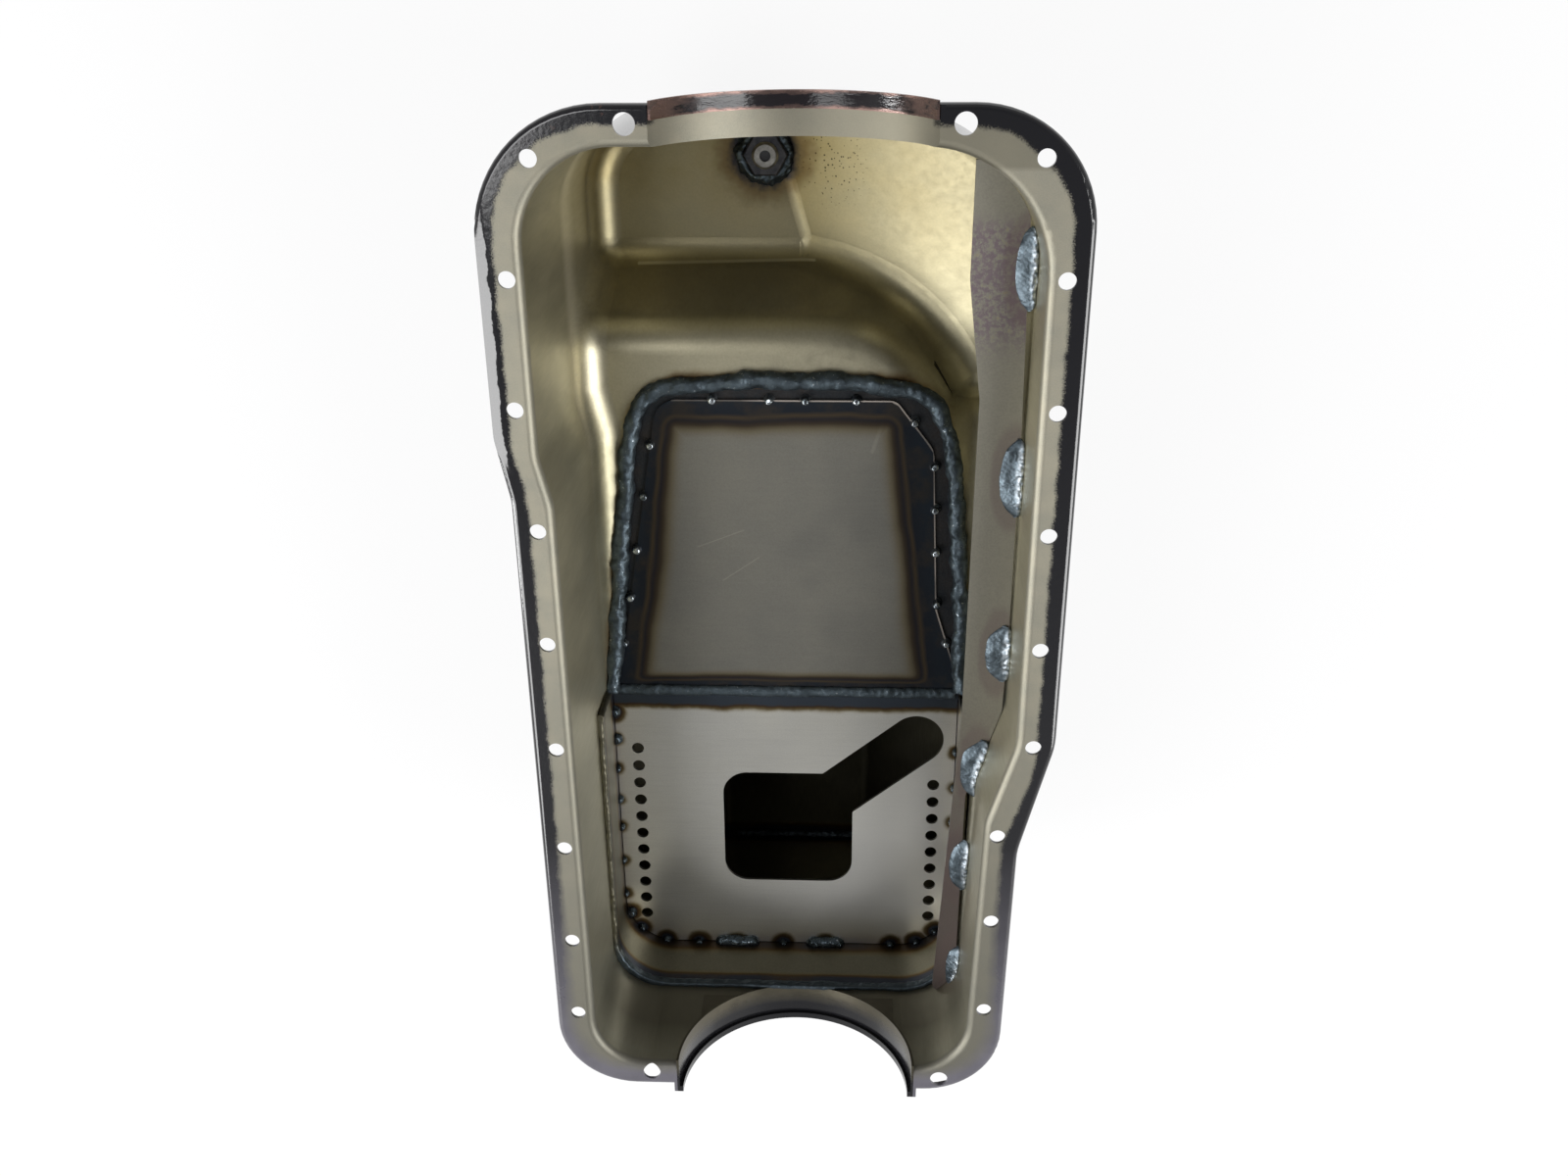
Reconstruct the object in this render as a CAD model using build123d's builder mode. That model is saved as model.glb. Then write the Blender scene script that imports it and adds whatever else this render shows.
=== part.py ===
from build123d import *
import os
from math import cos, degrees, atan, radians, sin, tan

os.makedirs("parts", exist_ok=True)

# Frame: X to the right of the engine, Y to its front, Z up.
# The gasket face is Z = 0 and the crankshaft centre line runs along Y at X = 0.
# Depths are measured down from the gasket face.

# ---- driving sizes, mm ----
sheet = 1.5
plate = 1.5
retainer = 1.2
depth_front = 150.0
depth_rear = 200.0
depth_hump = 95.0
deck_rise = 1.0
depth_deck = depth_hump - deck_rise
depth_skirt = 65.0
depth_box_edge = 59.0

rail_half_width = 107.95
rail_pitch = 53.975
rail_hole = 7.14
corner_hole = 8.7
flange_bend = 3.5
bend_fill = 1.2
bend_root = 0.4
lip_drop = 4.0
lip_bend = 2.4
floor_fillet = 14.0
hump_fillet = 20.0
lean_side = 2.6
lean_front = 2.0
lean_rear = 4.0
hump_draft = 19.0
ridge_rise = 25.0

front_arc_x = 1.5
front_arc_radius = 61.5
front_arc_height = 27.5
rear_arc_radius = 58.8
front_arc_start = 184.0
front_arc_end = 201.0
rear_arc_start = -262.0
rear_arc_end = -283.3
retainer_lip = 1.8
retainer_lip_width = 3.3
front_strip_half = 54.6
ear_half_width = 50.5
ear_depth = 50.0

box_left = -97.0
box_right = 81.6
box_front = 60.5
box_rear = -262.0
box_corner = 28.0
box_floor_left = -49.0
box_floor_right = 36.4
box_floor_front = -22.0
box_step_y = 8.0
ramp_drop = 6.0
box_ramp_depth = depth_deck + ramp_drop
step_drop = 14.0
box_step_depth = box_ramp_depth + step_drop
seam_y = -101.0
step_y = -98.0
shelf_x = 66.0
shelf_end_y = -128.0
ledge_width = 16.0
knee_bend = 7.0
plate_gap = 0.4

window_left = -41.0
window_right = 28.0
window_front = -150.5
window_rear = -219.5
window_corner = 13.0
slot_end_x = 60.7
slot_end_y = -129.0
slot_width = 28.6
drain_hole = 6.35
drain_hole_pitch = 10.68

scraper_y = 150.0
scraper_depth = 30.0
scraper_fall = 0.055
scraper_thick = 1.6

front_drain_x = -17.0
front_drain_y = 160.0
rear_drain_y = -205.0
bung_flats = 19.05
bung_height = 8.0
spigot = 16.0
plug_thread = 12.7
plug_flats = 19.05
plug_head = 7.5
plug_rise = 1.6
washer_outer = 20.0
washer_thick = 1.6
magnet = 5.2
magnet_depth = 6.0

# ---- outlines ----
# x, y, corner radius, then how far the wall leans in along x and y at hump depth
rail_inner = [
    (-105.7, 185.5, 38, lean_side, -lean_front),
    (100.6, 185.5, 50, -lean_side, -lean_front),
    (100.6, -76, 30, -lean_side, 0),
    (88.5, -118, 30, -lean_side, 0),
    (85, -266.3, 30, -lean_side, lean_rear),
    (-100.3, -266.3, 27, lean_side, lean_rear),
    (-100.8, 38, 22, lean_side, 0),
    (-105.7, 60, 22, lean_side, 0),
]
rail_outer = [
    (-123.7, 201.5, 52),
    (118, 201.5, 48),
    (118, -76, 40),
    (104.3, -133, 40),
    (101.7, -279, 38),
    (-118.5, -279, 38),
    (-118.5, 40, 25),
    (-123.7, 68, 25),
]
hump_top = [
    (-160, 91, 0),
    (45, 91, 62),
    (125, -40, 0),
    (125, -330, 0),
    (-160, -330, 0),
]
box_plan = [
    (-75.5, box_front, 18.5),
    (69, box_front, 20.5),
    (box_right, seam_y, 0),
    (box_right, box_rear, box_corner),
    (box_left, box_rear, box_corner),
    (box_left, seam_y - 3, 0),
]
behind_step = [
    (-300, step_y, 0),
    (shelf_x, step_y, 0),
    (shelf_x, shelf_end_y, 0),
    (300, shelf_end_y, 0),
    (300, -500, 0),
    (-300, -500, 0),
]
front_plate_outline = [
    (-67.5, 55.5, 12),
    (46, 55.5, 6),
    (64.5, 31, 12),
    (68.5, -53, 12),
    (80.6, -92, 0),
    (80.6, seam_y, 0),
    (-93.5, seam_y, 0),
]
scraper_outline = [
    (72.7, 177, 0),
    (72.7, 128, 12),
    (79.2, 76, 12),
    (79, -84, 0),
    (71, -258.5, 5.5),
    (82.8, -258.5, 5.5),
    (82.8, -130, 10),
    (97.6, -92, 14),
    (98.5, -36, 0),
    (97.8, 65, 0),
    (95.5, 159, 8),
    (84, 177, 0),
]
scraper_pads = [
    (95.5, 133, 36, 9.5),
    (95.5, 40, 38, 11.5),
    (94.5, -49, 31, 13),
    (87.5, -114, 34, 16),
    (82, -173, 32, 11),
    (82, -240, 27, 9),
]
bead_width = 8.5
tack_radius = 2.7
tack_height = 2.6
stitch_width = 8.6
stitch_height = 5.2
seam_bead_radius = 3.6
seam_bead_height = 2.0
inner_bead_height = 4.6
inner_bead_reach = 0.6
corner_bead_radius = 2.2
pad_height = 3.4
weld_crown = 3.0
skirt_bead = 2.4


def outline(corners, grow=0.0):
    """Rounded outline as a face, grown outwards by an amount."""
    with BuildSketch() as drawn:
        with BuildLine():
            Polyline(*[(c[0], c[1]) for c in corners], close=True)
        make_face()
        for c in corners:
            if c[2]:
                fillet(drawn.vertices().sort_by_distance((c[0], c[1], 0))[0], c[2])
        if grow:
            offset(amount=grow, kind=Kind.INTERSECTION)
    return drawn.sketch


def leaned(corners, depth):
    """The wall outline at a depth, each corner leaned in by its own amount."""
    share = depth / depth_hump
    return [(x + dx * share, y + dy * share, r) for x, y, r, dx, dy in corners]


def prism(face, bottom, height):
    """A face in plan stood up from a level."""
    with BuildPart() as stood:
        with BuildSketch(Plane.XY.offset(bottom)):
            add(face)
        extrude(amount=height)
    return stood.part


def trough(grow=0.0):
    """Plain tub inside the walls from the gasket face to the front sump floor."""
    with BuildPart() as tub:
        with BuildSketch(Plane.XY):
            add(outline(rail_inner, grow))
        with BuildSketch(Plane.XY.offset(-depth_front - grow)):
            add(outline(leaned(rail_inner, depth_front), grow))
        loft(ruled=True)
    return tub.part


def crossing(grow=0.0):
    """Block that lifts the floor behind the front sump, with its rounded brow."""
    height = depth_front - depth_hump + 25
    draft = tan(radians(hump_draft))
    shrink = grow * (draft - 1 / cos(radians(hump_draft)))
    with BuildPart() as block:
        with BuildSketch(Plane.XY.offset(-depth_hump - grow)):
            add(outline(hump_top, shrink))
        with BuildSketch(Plane.XY.offset(-depth_hump - grow - height)):
            add(outline(hump_top, shrink + height * draft))
        loft(ruled=True)
        top = block.faces().sort_by(Axis.Z)[-1]
        brow = [e for e in top.edges() if e.center().Y > -60 and -159 < e.center().X < 124]
        fillet(brow, hump_fillet - grow)
    return block.part


def slope(grow=0.0):
    """Block under the inclined facet on the right of the front sump."""
    ridge = Vector(11.5, -41, 0).normalized()
    across = Vector(-ridge.Y, ridge.X, 0)
    rise = across * cos(radians(ridge_rise)) + Vector(0, 0, sin(radians(ridge_rise)))
    facet = Plane(origin=(-6, 149, -depth_front), x_dir=rise, z_dir=rise.cross(ridge * -1))
    with BuildPart() as block:
        with Locations(facet.offset(-grow)):
            Box(500, 500, 120, align=(Align.CENTER, Align.CENTER, Align.MAX))
    return block.part


def creased(edge, solid):
    """True where the two faces beside an edge meet at an angle."""
    beside = [f for f in solid.faces() if any(other.is_same(edge) for other in f.edges())]
    middle = edge.position_at(0.5)
    return beside[0].normal_at(middle).get_angle(beside[1].normal_at(middle)) > 12


def tub(grow=0.0):
    """Inside of the stamping, or its outside when grown by the sheet."""
    with BuildPart() as shape:
        add(trough(grow))
        add(crossing(grow), mode=Mode.SUBTRACT)
        add(slope(grow), mode=Mode.SUBTRACT)
        low = [e for e in shape.edges() if e.bounding_box().max.Z < 0.1 - depth_hump]
        low = [e for e in low if e.center().Y > seam_y and creased(e, shape.part)]
        fillet(low, floor_fillet + grow)
    return shape.part


def oval_bead(plane, place, length, width, height, turn):
    """Oval run of weld on a plane, with a crowned top."""
    with BuildPart() as run:
        with BuildSketch(plane):
            with Locations(place):
                SlotOverall(length, width, rotation=turn)
        extrude(amount=height)
        fillet(run.faces().sort_by(Axis.Z)[-1].edges(), weld_crown)
    return run.part


def ring(middle, radius, start, end, thick):
    """Part of a tube along Y that lies below the gasket face."""
    with BuildPart() as tube:
        with BuildSketch(Plane.XZ.offset(-start)):
            with Locations(middle):
                Circle(radius + thick)
                Circle(radius, mode=Mode.SUBTRACT)
            with Locations((0, -200)):
                Rectangle(400, 400, mode=Mode.INTERSECT)
        extrude(amount=start - end)
    return tube.part


def bar(middle, radius, start, end):
    """Round bar along Y used to clear a seal arc."""
    with BuildPart() as clearing:
        with BuildSketch(Plane.XZ.offset(-start)):
            with Locations(middle):
                Circle(radius)
        extrude(amount=start - end)
    return clearing.part


# inside floor under each drain: front sump floor, left slant of the rear sump
front_seat = Plane(origin=(front_drain_x, front_drain_y, -depth_front))
rear_seat = Plane(
    origin=(
        (box_left + box_floor_left) / 2,
        rear_drain_y,
        (box_floor_left - box_left) / 2 - depth_rear,
    ),
    x_dir=(0, 1, 0),
    z_dir=(1, 0, 1),
)


# centres of the two seal arcs, across and up
front_seal = (front_arc_x, front_arc_height)
rear_seal = (0, 0)

print("stamped cavity")
with BuildPart() as cavity:
    add(tub())

# ---- stamped shell: walls, flange with rolled lip, seal arcs, bolt holes ----
print("pan shell")
side_holes = [
    (-rail_half_width, 0.5 * rail_pitch),
    (-rail_half_width, -0.5 * rail_pitch),
    (-rail_half_width, -1.5 * rail_pitch),
    (-rail_half_width, -2.5 * rail_pitch),
    (-rail_half_width, -3.5 * rail_pitch),
    (-rail_half_width, -233.4),
    (-113.2, 1.5 * rail_pitch),
    (-112, 2.5 * rail_pitch),
    (-99.8, 181.6),
    (rail_half_width, 2.5 * rail_pitch),
    (rail_half_width, 1.5 * rail_pitch),
    (rail_half_width, 0.5 * rail_pitch),
    (rail_half_width, -0.5 * rail_pitch),
    (rail_half_width, -76),
    (94.5, -124),
    (94, -172.5),
    (93.2, -226),
    (96.9, 181.6),
]
end_holes = [
    (-62.4, 194.2),
    (66.1, 194.2),
    (-72.7, -271),
    (72.7, -271),
]
with BuildPart() as mouth_plate:
    with BuildSketch(Plane.XY.offset(-flange_bend)):
        add(outline(rail_outer))
        add(outline(leaned(rail_inner, flange_bend)), mode=Mode.SUBTRACT)
    extrude(amount=flange_bend)
    rim = mouth_plate.faces().sort_by(Axis.Z)[-1].inner_wires()[0]
    fillet(rim.edges(), flange_bend - 0.02)
with BuildPart() as mouth_flare:
    add(prism(outline(rail_inner, flange_bend), -flange_bend, flange_bend))
    add(mouth_plate.part, mode=Mode.SUBTRACT)
with BuildPart() as bend_filler:
    add(prism(outline(rail_inner, sheet + bend_fill), -sheet - bend_fill - bend_root, bend_fill + bend_root))
    under = bend_filler.faces().sort_by(Axis.Z)[0]
    chamfer(under.edges(), bend_fill + bend_root - 0.02)
with BuildPart() as flange:
    with BuildSketch(Plane.XY.offset(-lip_drop)):
        add(outline(rail_outer))
    extrude(amount=lip_drop)
    fillet(flange.faces().sort_by(Axis.Z)[-1].edges(), lip_bend)
    with BuildSketch(Plane.XY.offset(-lip_drop)):
        add(outline(rail_outer, -sheet))
    extrude(amount=lip_drop - sheet, mode=Mode.SUBTRACT)
with BuildPart() as pan_shell:
    add(tub(sheet))
    add(flange.part)
    add(bend_filler.part)
    add(ring(front_seal, front_arc_radius, front_arc_end, front_arc_start, sheet))
    add(ring(rear_seal, rear_arc_radius + retainer, rear_arc_start, rear_arc_end, sheet))
    add(cavity.part, mode=Mode.SUBTRACT)
    add(mouth_flare.part, mode=Mode.SUBTRACT)
    add(bar(front_seal, front_arc_radius, front_arc_end + 5, front_arc_start - 8), mode=Mode.SUBTRACT)
    add(bar(rear_seal, rear_arc_radius + retainer, rear_arc_start + 8, rear_arc_end - 8), mode=Mode.SUBTRACT)
    with BuildSketch():
        with Locations((0, 0)):
            Rectangle(600, 800)
    extrude(amount=50, mode=Mode.SUBTRACT)
    with BuildSketch():
        with Locations(side_holes):
            Circle(rail_hole / 2)
        with Locations(end_holes):
            Circle(corner_hole / 2)
    extrude(amount=-lip_drop, mode=Mode.SUBTRACT)
    with BuildSketch(Plane.XY.offset(-depth_skirt)):
        add(outline(behind_step))
    extrude(amount=-200, mode=Mode.SUBTRACT)
    with BuildSketch(Plane.XY.offset(-depth_skirt - 12)):
        add(outline(box_plan, sheet))
        with Locations((0, -1)):
            add(outline(behind_step), mode=Mode.SUBTRACT)
    extrude(amount=-100, mode=Mode.SUBTRACT)
    with BuildSketch(front_seat.offset(20)):
        Circle(spigot / 2)
    extrude(amount=-40, mode=Mode.SUBTRACT)
pan_shell.part.label = "pan_shell"
export_step(pan_shell.part, "parts/pan_shell.step")

# ---- seal retainers: a second skin on each seal arc ----
print("seal retainers")
with BuildPart() as front_seal_retainer:
    add(ring(front_seal, front_arc_radius - retainer, front_arc_end + 1.6, front_arc_end - 5.5, retainer))
    with BuildSketch(Plane.XZ.offset(-front_arc_end - 1.6)):
        with Locations((front_arc_x, -100)):
            Rectangle(2 * front_strip_half, 200)
    extrude(amount=10, mode=Mode.INTERSECT)
front_seal_retainer.part.label = "front_seal_retainer"
export_step(front_seal_retainer.part, "parts/front_seal_retainer.step")

with BuildPart() as rear_seal_retainer:
    add(trough())
    add(trough(-retainer), mode=Mode.SUBTRACT)
    with BuildSketch(Plane.XZ.offset(-box_rear - 10)):
        with Locations((0, -12)):
            Rectangle(2 * ear_half_width, ear_depth - 12, align=(Align.CENTER, Align.MAX))
    extrude(amount=20, mode=Mode.INTERSECT)
    add(ring(rear_seal, rear_arc_radius, rear_arc_start - 1, rear_arc_end, retainer))
    add(ring(rear_seal, rear_arc_radius - retainer_lip, rear_arc_end + retainer_lip_width, rear_arc_end, retainer_lip))
    add(bar(rear_seal, rear_arc_radius - retainer_lip, rear_arc_start + 20, rear_arc_end - 5), mode=Mode.SUBTRACT)
    add(bar(rear_seal, rear_arc_radius, rear_arc_start + 20, rear_arc_end + retainer_lip_width), mode=Mode.SUBTRACT)
    add(pan_shell.part, mode=Mode.SUBTRACT)
rear_seal_retainer.part.label = "rear_seal_retainer"
export_step(rear_seal_retainer.part, "parts/rear_seal_retainer.step")

# ---- fabricated sump box under the opening ----
print("sump box")


def box_body(grow=0.0):
    """Inside of the welded sump box, or its outside when grown by the sheet."""
    beyond = 40
    across = [
        (box_left - beyond, 20, 0),
        (box_right + beyond, 20, 0),
        (box_right + beyond, box_right + beyond - box_floor_right - depth_rear, 0),
        (box_floor_right, -depth_rear, knee_bend),
        (box_floor_left, -depth_rear, knee_bend),
        (box_left - beyond, box_floor_left - box_left + beyond - depth_rear, 0),
    ]
    ramp = (box_step_depth - box_ramp_depth) / (box_front - box_step_y)
    front_lean = (box_step_y - box_floor_front) / (depth_rear - box_step_depth)
    along = [
        (box_front + beyond, 20, 0),
        (box_front + beyond, ramp * beyond - box_ramp_depth, 0),
        (box_step_y, -box_step_depth, knee_bend),
        (box_floor_front - front_lean * beyond, -depth_rear - beyond, 0),
        (box_rear - beyond, -depth_rear - beyond, 0),
        (box_rear - beyond, 20, 0),
    ]
    with BuildPart() as lengthways:
        with BuildSketch(Plane.YZ.offset(-150)):
            add(outline(along, grow))
        extrude(amount=300)
    with BuildPart() as crossways:
        with BuildSketch(Plane.XZ.offset(-100)):
            add(outline(across, grow))
        extrude(amount=500)
    with BuildPart() as body:
        add(prism(outline(box_plan, grow), -depth_rear - 20, depth_rear + 25))
        add(lengthways.part, mode=Mode.INTERSECT)
        add(crossways.part, mode=Mode.INTERSECT)
    return body.part


inner_box = box_body()
box_skin = box_body(sheet) - inner_box
edge_profile = [
    (box_front + 40, -depth_hump),
    (-50, -depth_hump),
    (seam_y + 3, -depth_hump + 8),
    (seam_y + 3, -depth_box_edge),
    (box_rear - 40, -depth_box_edge),
    (box_rear - 40, 60),
    (box_front + 40, 60),
]
well = prism(outline(box_plan), -depth_rear - 20, depth_rear + 40)
with BuildPart() as above_edge:
    with BuildSketch(Plane.YZ.offset(-150)):
        with BuildLine():
            Polyline(*edge_profile, close=True)
        make_face()
    extrude(amount=300)
with BuildPart() as front_half:
    with BuildSketch(Plane.YZ.offset(-150)):
        with BuildLine():
            Polyline(
                (box_step_y, -box_step_depth),
                (box_floor_front, -depth_rear),
                (box_floor_front - 18.6, -depth_rear - 50),
                (box_front + 40, -depth_rear - 50),
                (box_front + 40, -40),
                (box_front - 4, -40),
                close=True,
            )
        make_face()
    extrude(amount=300)

with BuildPart() as sump_wall_band:
    add(box_skin)
    add(well, mode=Mode.SUBTRACT)
    add(above_edge.part, mode=Mode.SUBTRACT)
sump_wall_band.part.label = "sump_wall_band"
export_step(sump_wall_band.part, "parts/sump_wall_band.step")

with BuildPart() as sump_bottom:
    add(box_skin)
    add(well, mode=Mode.INTERSECT)
    add(front_half.part, mode=Mode.SUBTRACT)
    with Locations((0, 0, 0)):
        Box(600, 800, 100, align=(Align.CENTER, Align.CENTER, Align.CENTER), mode=Mode.SUBTRACT)
    with BuildSketch(rear_seat.offset(10)):
        Circle(spigot / 2)
    extrude(amount=-20, mode=Mode.SUBTRACT)
sump_bottom.part.label = "sump_bottom"
export_step(sump_bottom.part, "parts/sump_bottom.step")

with BuildPart() as sump_front:
    add(box_skin)
    add(well, mode=Mode.INTERSECT)
    add(front_half.part, mode=Mode.INTERSECT)
    with Locations((0, 0, 0)):
        Box(600, 800, 100, align=(Align.CENTER, Align.CENTER, Align.CENTER), mode=Mode.SUBTRACT)
sump_front.part.label = "sump_front"
export_step(sump_front.part, "parts/sump_front.step")

# ---- baffle deck: ledge, plain front plate, pierced rear plate ----
print("baffle deck")
with BuildPart() as baffle_ledge:
    with BuildSketch(Plane.XY.offset(-depth_deck - 2 * plate)):
        add(outline(box_plan))
        with Locations((0, seam_y - 6)):
            Rectangle(400, 400, align=(Align.CENTER, Align.MIN), mode=Mode.INTERSECT)
        add(outline(box_plan, -ledge_width), mode=Mode.SUBTRACT)
    extrude(amount=plate)
baffle_ledge.part.label = "baffle_ledge"
export_step(baffle_ledge.part, "parts/baffle_ledge.step")

with BuildPart() as front_baffle_plate:
    with BuildSketch(Plane.XY.offset(-depth_deck - plate)):
        add(outline(front_plate_outline))
    extrude(amount=plate)
front_baffle_plate.part.label = "front_baffle_plate"
export_step(front_baffle_plate.part, "parts/front_baffle_plate.step")

left_holes = [(-85.5, -136.5 - drain_hole_pitch * n) for n in range(11)]
right_holes = [(70.5, -156.5 - drain_hole_pitch * n) for n in range(9)]
with BuildPart() as rear_baffle_plate:
    with BuildSketch(Plane.XY.offset(-depth_deck - plate)):
        add(outline(box_plan, -plate_gap))
        with Locations((0, seam_y)):
            Rectangle(400, 400, align=(Align.CENTER, Align.MAX), mode=Mode.INTERSECT)
        with Locations(((window_left + window_right) / 2, (window_front + window_rear) / 2)):
            RectangleRounded(
                window_right - window_left,
                window_front - window_rear,
                window_corner,
                mode=Mode.SUBTRACT,
            )
        with BuildLine():
            pickup = Line((window_right - 30, window_front - 30), (slot_end_x, slot_end_y))
        with Locations(pickup @ 0.5):
            SlotCenterToCenter(
                pickup.length,
                slot_width,
                rotation=degrees(atan((slot_end_y - window_front + 30) / (slot_end_x - window_right + 30))),
                mode=Mode.SUBTRACT,
            )
        with Locations(left_holes + right_holes):
            Circle(drain_hole / 2, mode=Mode.SUBTRACT)
    extrude(amount=plate)
rear_baffle_plate.part.label = "rear_baffle_plate"
export_step(rear_baffle_plate.part, "parts/rear_baffle_plate.step")

# ---- crank scraper: flat strip along the right wall ----
print("crank scraper")
scraper_plane = Plane(
    origin=(0, 0, -scraper_depth - scraper_fall * scraper_y),
    x_dir=(1, 0, 0),
    z_dir=(0, -scraper_fall, 1),
)
with BuildPart() as crank_scraper:
    with BuildSketch(scraper_plane):
        add(outline(scraper_outline))
    extrude(amount=scraper_thick)
    add(trough(-0.3), mode=Mode.INTERSECT)
crank_scraper.part.label = "crank_scraper"
export_step(crank_scraper.part, "parts/crank_scraper.step")


# ---- drains: hexagon bung, plug, magnet and washer, set out from an inside floor ----
def drain_bung(seat):
    """Hexagon bung standing on a floor, its spigot through the sheet."""
    with BuildPart() as bung:
        with BuildSketch(seat):
            RegularPolygon(bung_flats / 2, 6, major_radius=False)
        extrude(amount=bung_height)
        chamfer(bung.faces().sort_by_distance(seat.origin + seat.z_dir * bung_height)[0].edges(), 0.8)
        with BuildSketch(seat):
            Circle(spigot / 2)
        extrude(amount=-sheet - 0.8)
        with BuildSketch(seat.offset(bung_height)):
            Circle(plug_thread / 2)
        extrude(amount=-30, mode=Mode.SUBTRACT)
    return bung.part


def drain_plug(seat):
    """Plug screwed in from below: hexagon head, plain shank, hollow tip."""
    face = -sheet - 0.8 - washer_thick
    with BuildPart() as plug:
        with BuildSketch(seat.offset(face)):
            Circle(plug_thread / 2)
        extrude(amount=bung_height + plug_rise - face)
        tip = plug.faces().sort_by_distance(seat.origin + seat.z_dir * (bung_height + plug_rise))[0]
        chamfer(tip.edges(), 1.2)
        with BuildSketch(seat.offset(face)):
            Circle(washer_outer / 2 + 0.8)
        extrude(amount=-1.6)
        with BuildSketch(seat.offset(face - 1.6)):
            RegularPolygon(plug_flats / 2, 6, major_radius=False)
        extrude(amount=-plug_head)
        with BuildSketch(seat.offset(bung_height + plug_rise)):
            Circle(magnet / 2)
        extrude(amount=-magnet_depth, mode=Mode.SUBTRACT)
    return plug.part


def plug_magnet(seat):
    """Magnet pressed into the tip of the plug, a little below flush."""
    with BuildPart() as slug:
        with BuildSketch(seat.offset(bung_height + plug_rise - magnet_depth)):
            Circle(magnet / 2)
        extrude(amount=magnet_depth - 1.2)
    return slug.part


def plug_washer(seat):
    """Sealing washer between the plug head and the spigot."""
    with BuildPart() as washer:
        with BuildSketch(seat.offset(-sheet - 0.8)):
            Circle(washer_outer / 2)
            Circle(plug_thread / 2, mode=Mode.SUBTRACT)
        extrude(amount=-washer_thick)
    return washer.part


def bung_weld(seat):
    """Fillet weld round the foot of a bung."""
    with BuildPart() as weld:
        with BuildSketch(seat):
            Circle(bung_flats / 2 + 5.2)
        with BuildSketch(seat.offset(4.2)):
            Circle(bung_flats / 2 + 1.9)
        loft(ruled=True)
        fillet(weld.faces().sort_by_distance(seat.origin + seat.z_dir * 4.2)[0].edges(), 0.8)
        with BuildSketch(seat):
            RegularPolygon(bung_flats / 2, 6, major_radius=False)
        extrude(amount=20, mode=Mode.SUBTRACT)
    return weld.part


print("drains")

with BuildPart() as front_drain_bung:
    add(drain_bung(front_seat))
    add(cavity.part, mode=Mode.INTERSECT)
    with BuildSketch(front_seat):
        Circle(spigot / 2)
        Circle(plug_thread / 2, mode=Mode.SUBTRACT)
    extrude(amount=-sheet - 0.8)
front_drain_bung.part.label = "front_drain_bung"
export_step(front_drain_bung.part, "parts/front_drain_bung.step")

with BuildPart() as front_drain_plug:
    add(drain_plug(front_seat))
front_drain_plug.part.label = "front_drain_plug"
export_step(front_drain_plug.part, "parts/front_drain_plug.step")

with BuildPart() as front_plug_magnet:
    add(plug_magnet(front_seat))
front_plug_magnet.part.label = "front_plug_magnet"
export_step(front_plug_magnet.part, "parts/front_plug_magnet.step")

with BuildPart() as front_plug_washer:
    add(plug_washer(front_seat))
front_plug_washer.part.label = "front_plug_washer"
export_step(front_plug_washer.part, "parts/front_plug_washer.step")

with BuildPart() as front_bung_weld:
    add(bung_weld(front_seat))
    add(cavity.part, mode=Mode.INTERSECT)
front_bung_weld.part.label = "front_bung_weld"
export_step(front_bung_weld.part, "parts/front_bung_weld.step")

with BuildPart() as rear_drain_bung:
    add(drain_bung(rear_seat))
rear_drain_bung.part.label = "rear_drain_bung"
export_step(rear_drain_bung.part, "parts/rear_drain_bung.step")

with BuildPart() as rear_drain_plug:
    add(drain_plug(rear_seat))
rear_drain_plug.part.label = "rear_drain_plug"
export_step(rear_drain_plug.part, "parts/rear_drain_plug.step")

with BuildPart() as rear_plug_magnet:
    add(plug_magnet(rear_seat))
rear_plug_magnet.part.label = "rear_plug_magnet"
export_step(rear_plug_magnet.part, "parts/rear_plug_magnet.step")

with BuildPart() as rear_plug_washer:
    add(plug_washer(rear_seat))
rear_plug_washer.part.label = "rear_plug_washer"
export_step(rear_plug_washer.part, "parts/rear_plug_washer.step")

with BuildPart() as rear_bung_weld:
    add(bung_weld(rear_seat))
rear_bung_weld.part.label = "rear_bung_weld"
export_step(rear_bung_weld.part, "parts/rear_bung_weld.step")

# ---- welds ----
print("welds")
bead_path = [
    (box_left + 0.6, seam_y + 3, 10),
    (-92.7, -66, 4),
    (-88.3, -22, 1),
    (-82.5, 24.5, 1),
    (-77, 49, 1),
    (-70.5, 58.5, 1),
    (-58, box_front + 1.5, 1),
    (45, box_front + 1.5, 1),
    (60, 57.5, 1),
    (67.5, 47.6, 1),
    (73.5, 25.5, 1),
    (78.2, -22, 1),
    (81, -63, 4),
    (box_right - 0.6, seam_y + 5, 10),
]
with BuildPart() as shell_sump_weld:
    with BuildLine() as bead_line:
        Spline(*[(x, y, rise - depth_hump) for x, y, rise in bead_path])
    with BuildSketch(Plane(origin=bead_line.line @ 0, z_dir=bead_line.line % 0)):
        Circle(bead_width / 2)
    sweep()
    add(trough(), mode=Mode.INTERSECT)
    with Locations((0, 0, -depth_hump)):
        Box(400, 800, 100, align=(Align.CENTER, Align.CENTER, Align.MAX), mode=Mode.SUBTRACT)
    add(sump_wall_band.part, mode=Mode.SUBTRACT)
    add(front_baffle_plate.part, mode=Mode.SUBTRACT)
    add(rear_baffle_plate.part, mode=Mode.SUBTRACT)
shell_sump_weld.part.label = "shell_sump_weld"
export_step(shell_sump_weld.part, "parts/shell_sump_weld.step")

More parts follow.
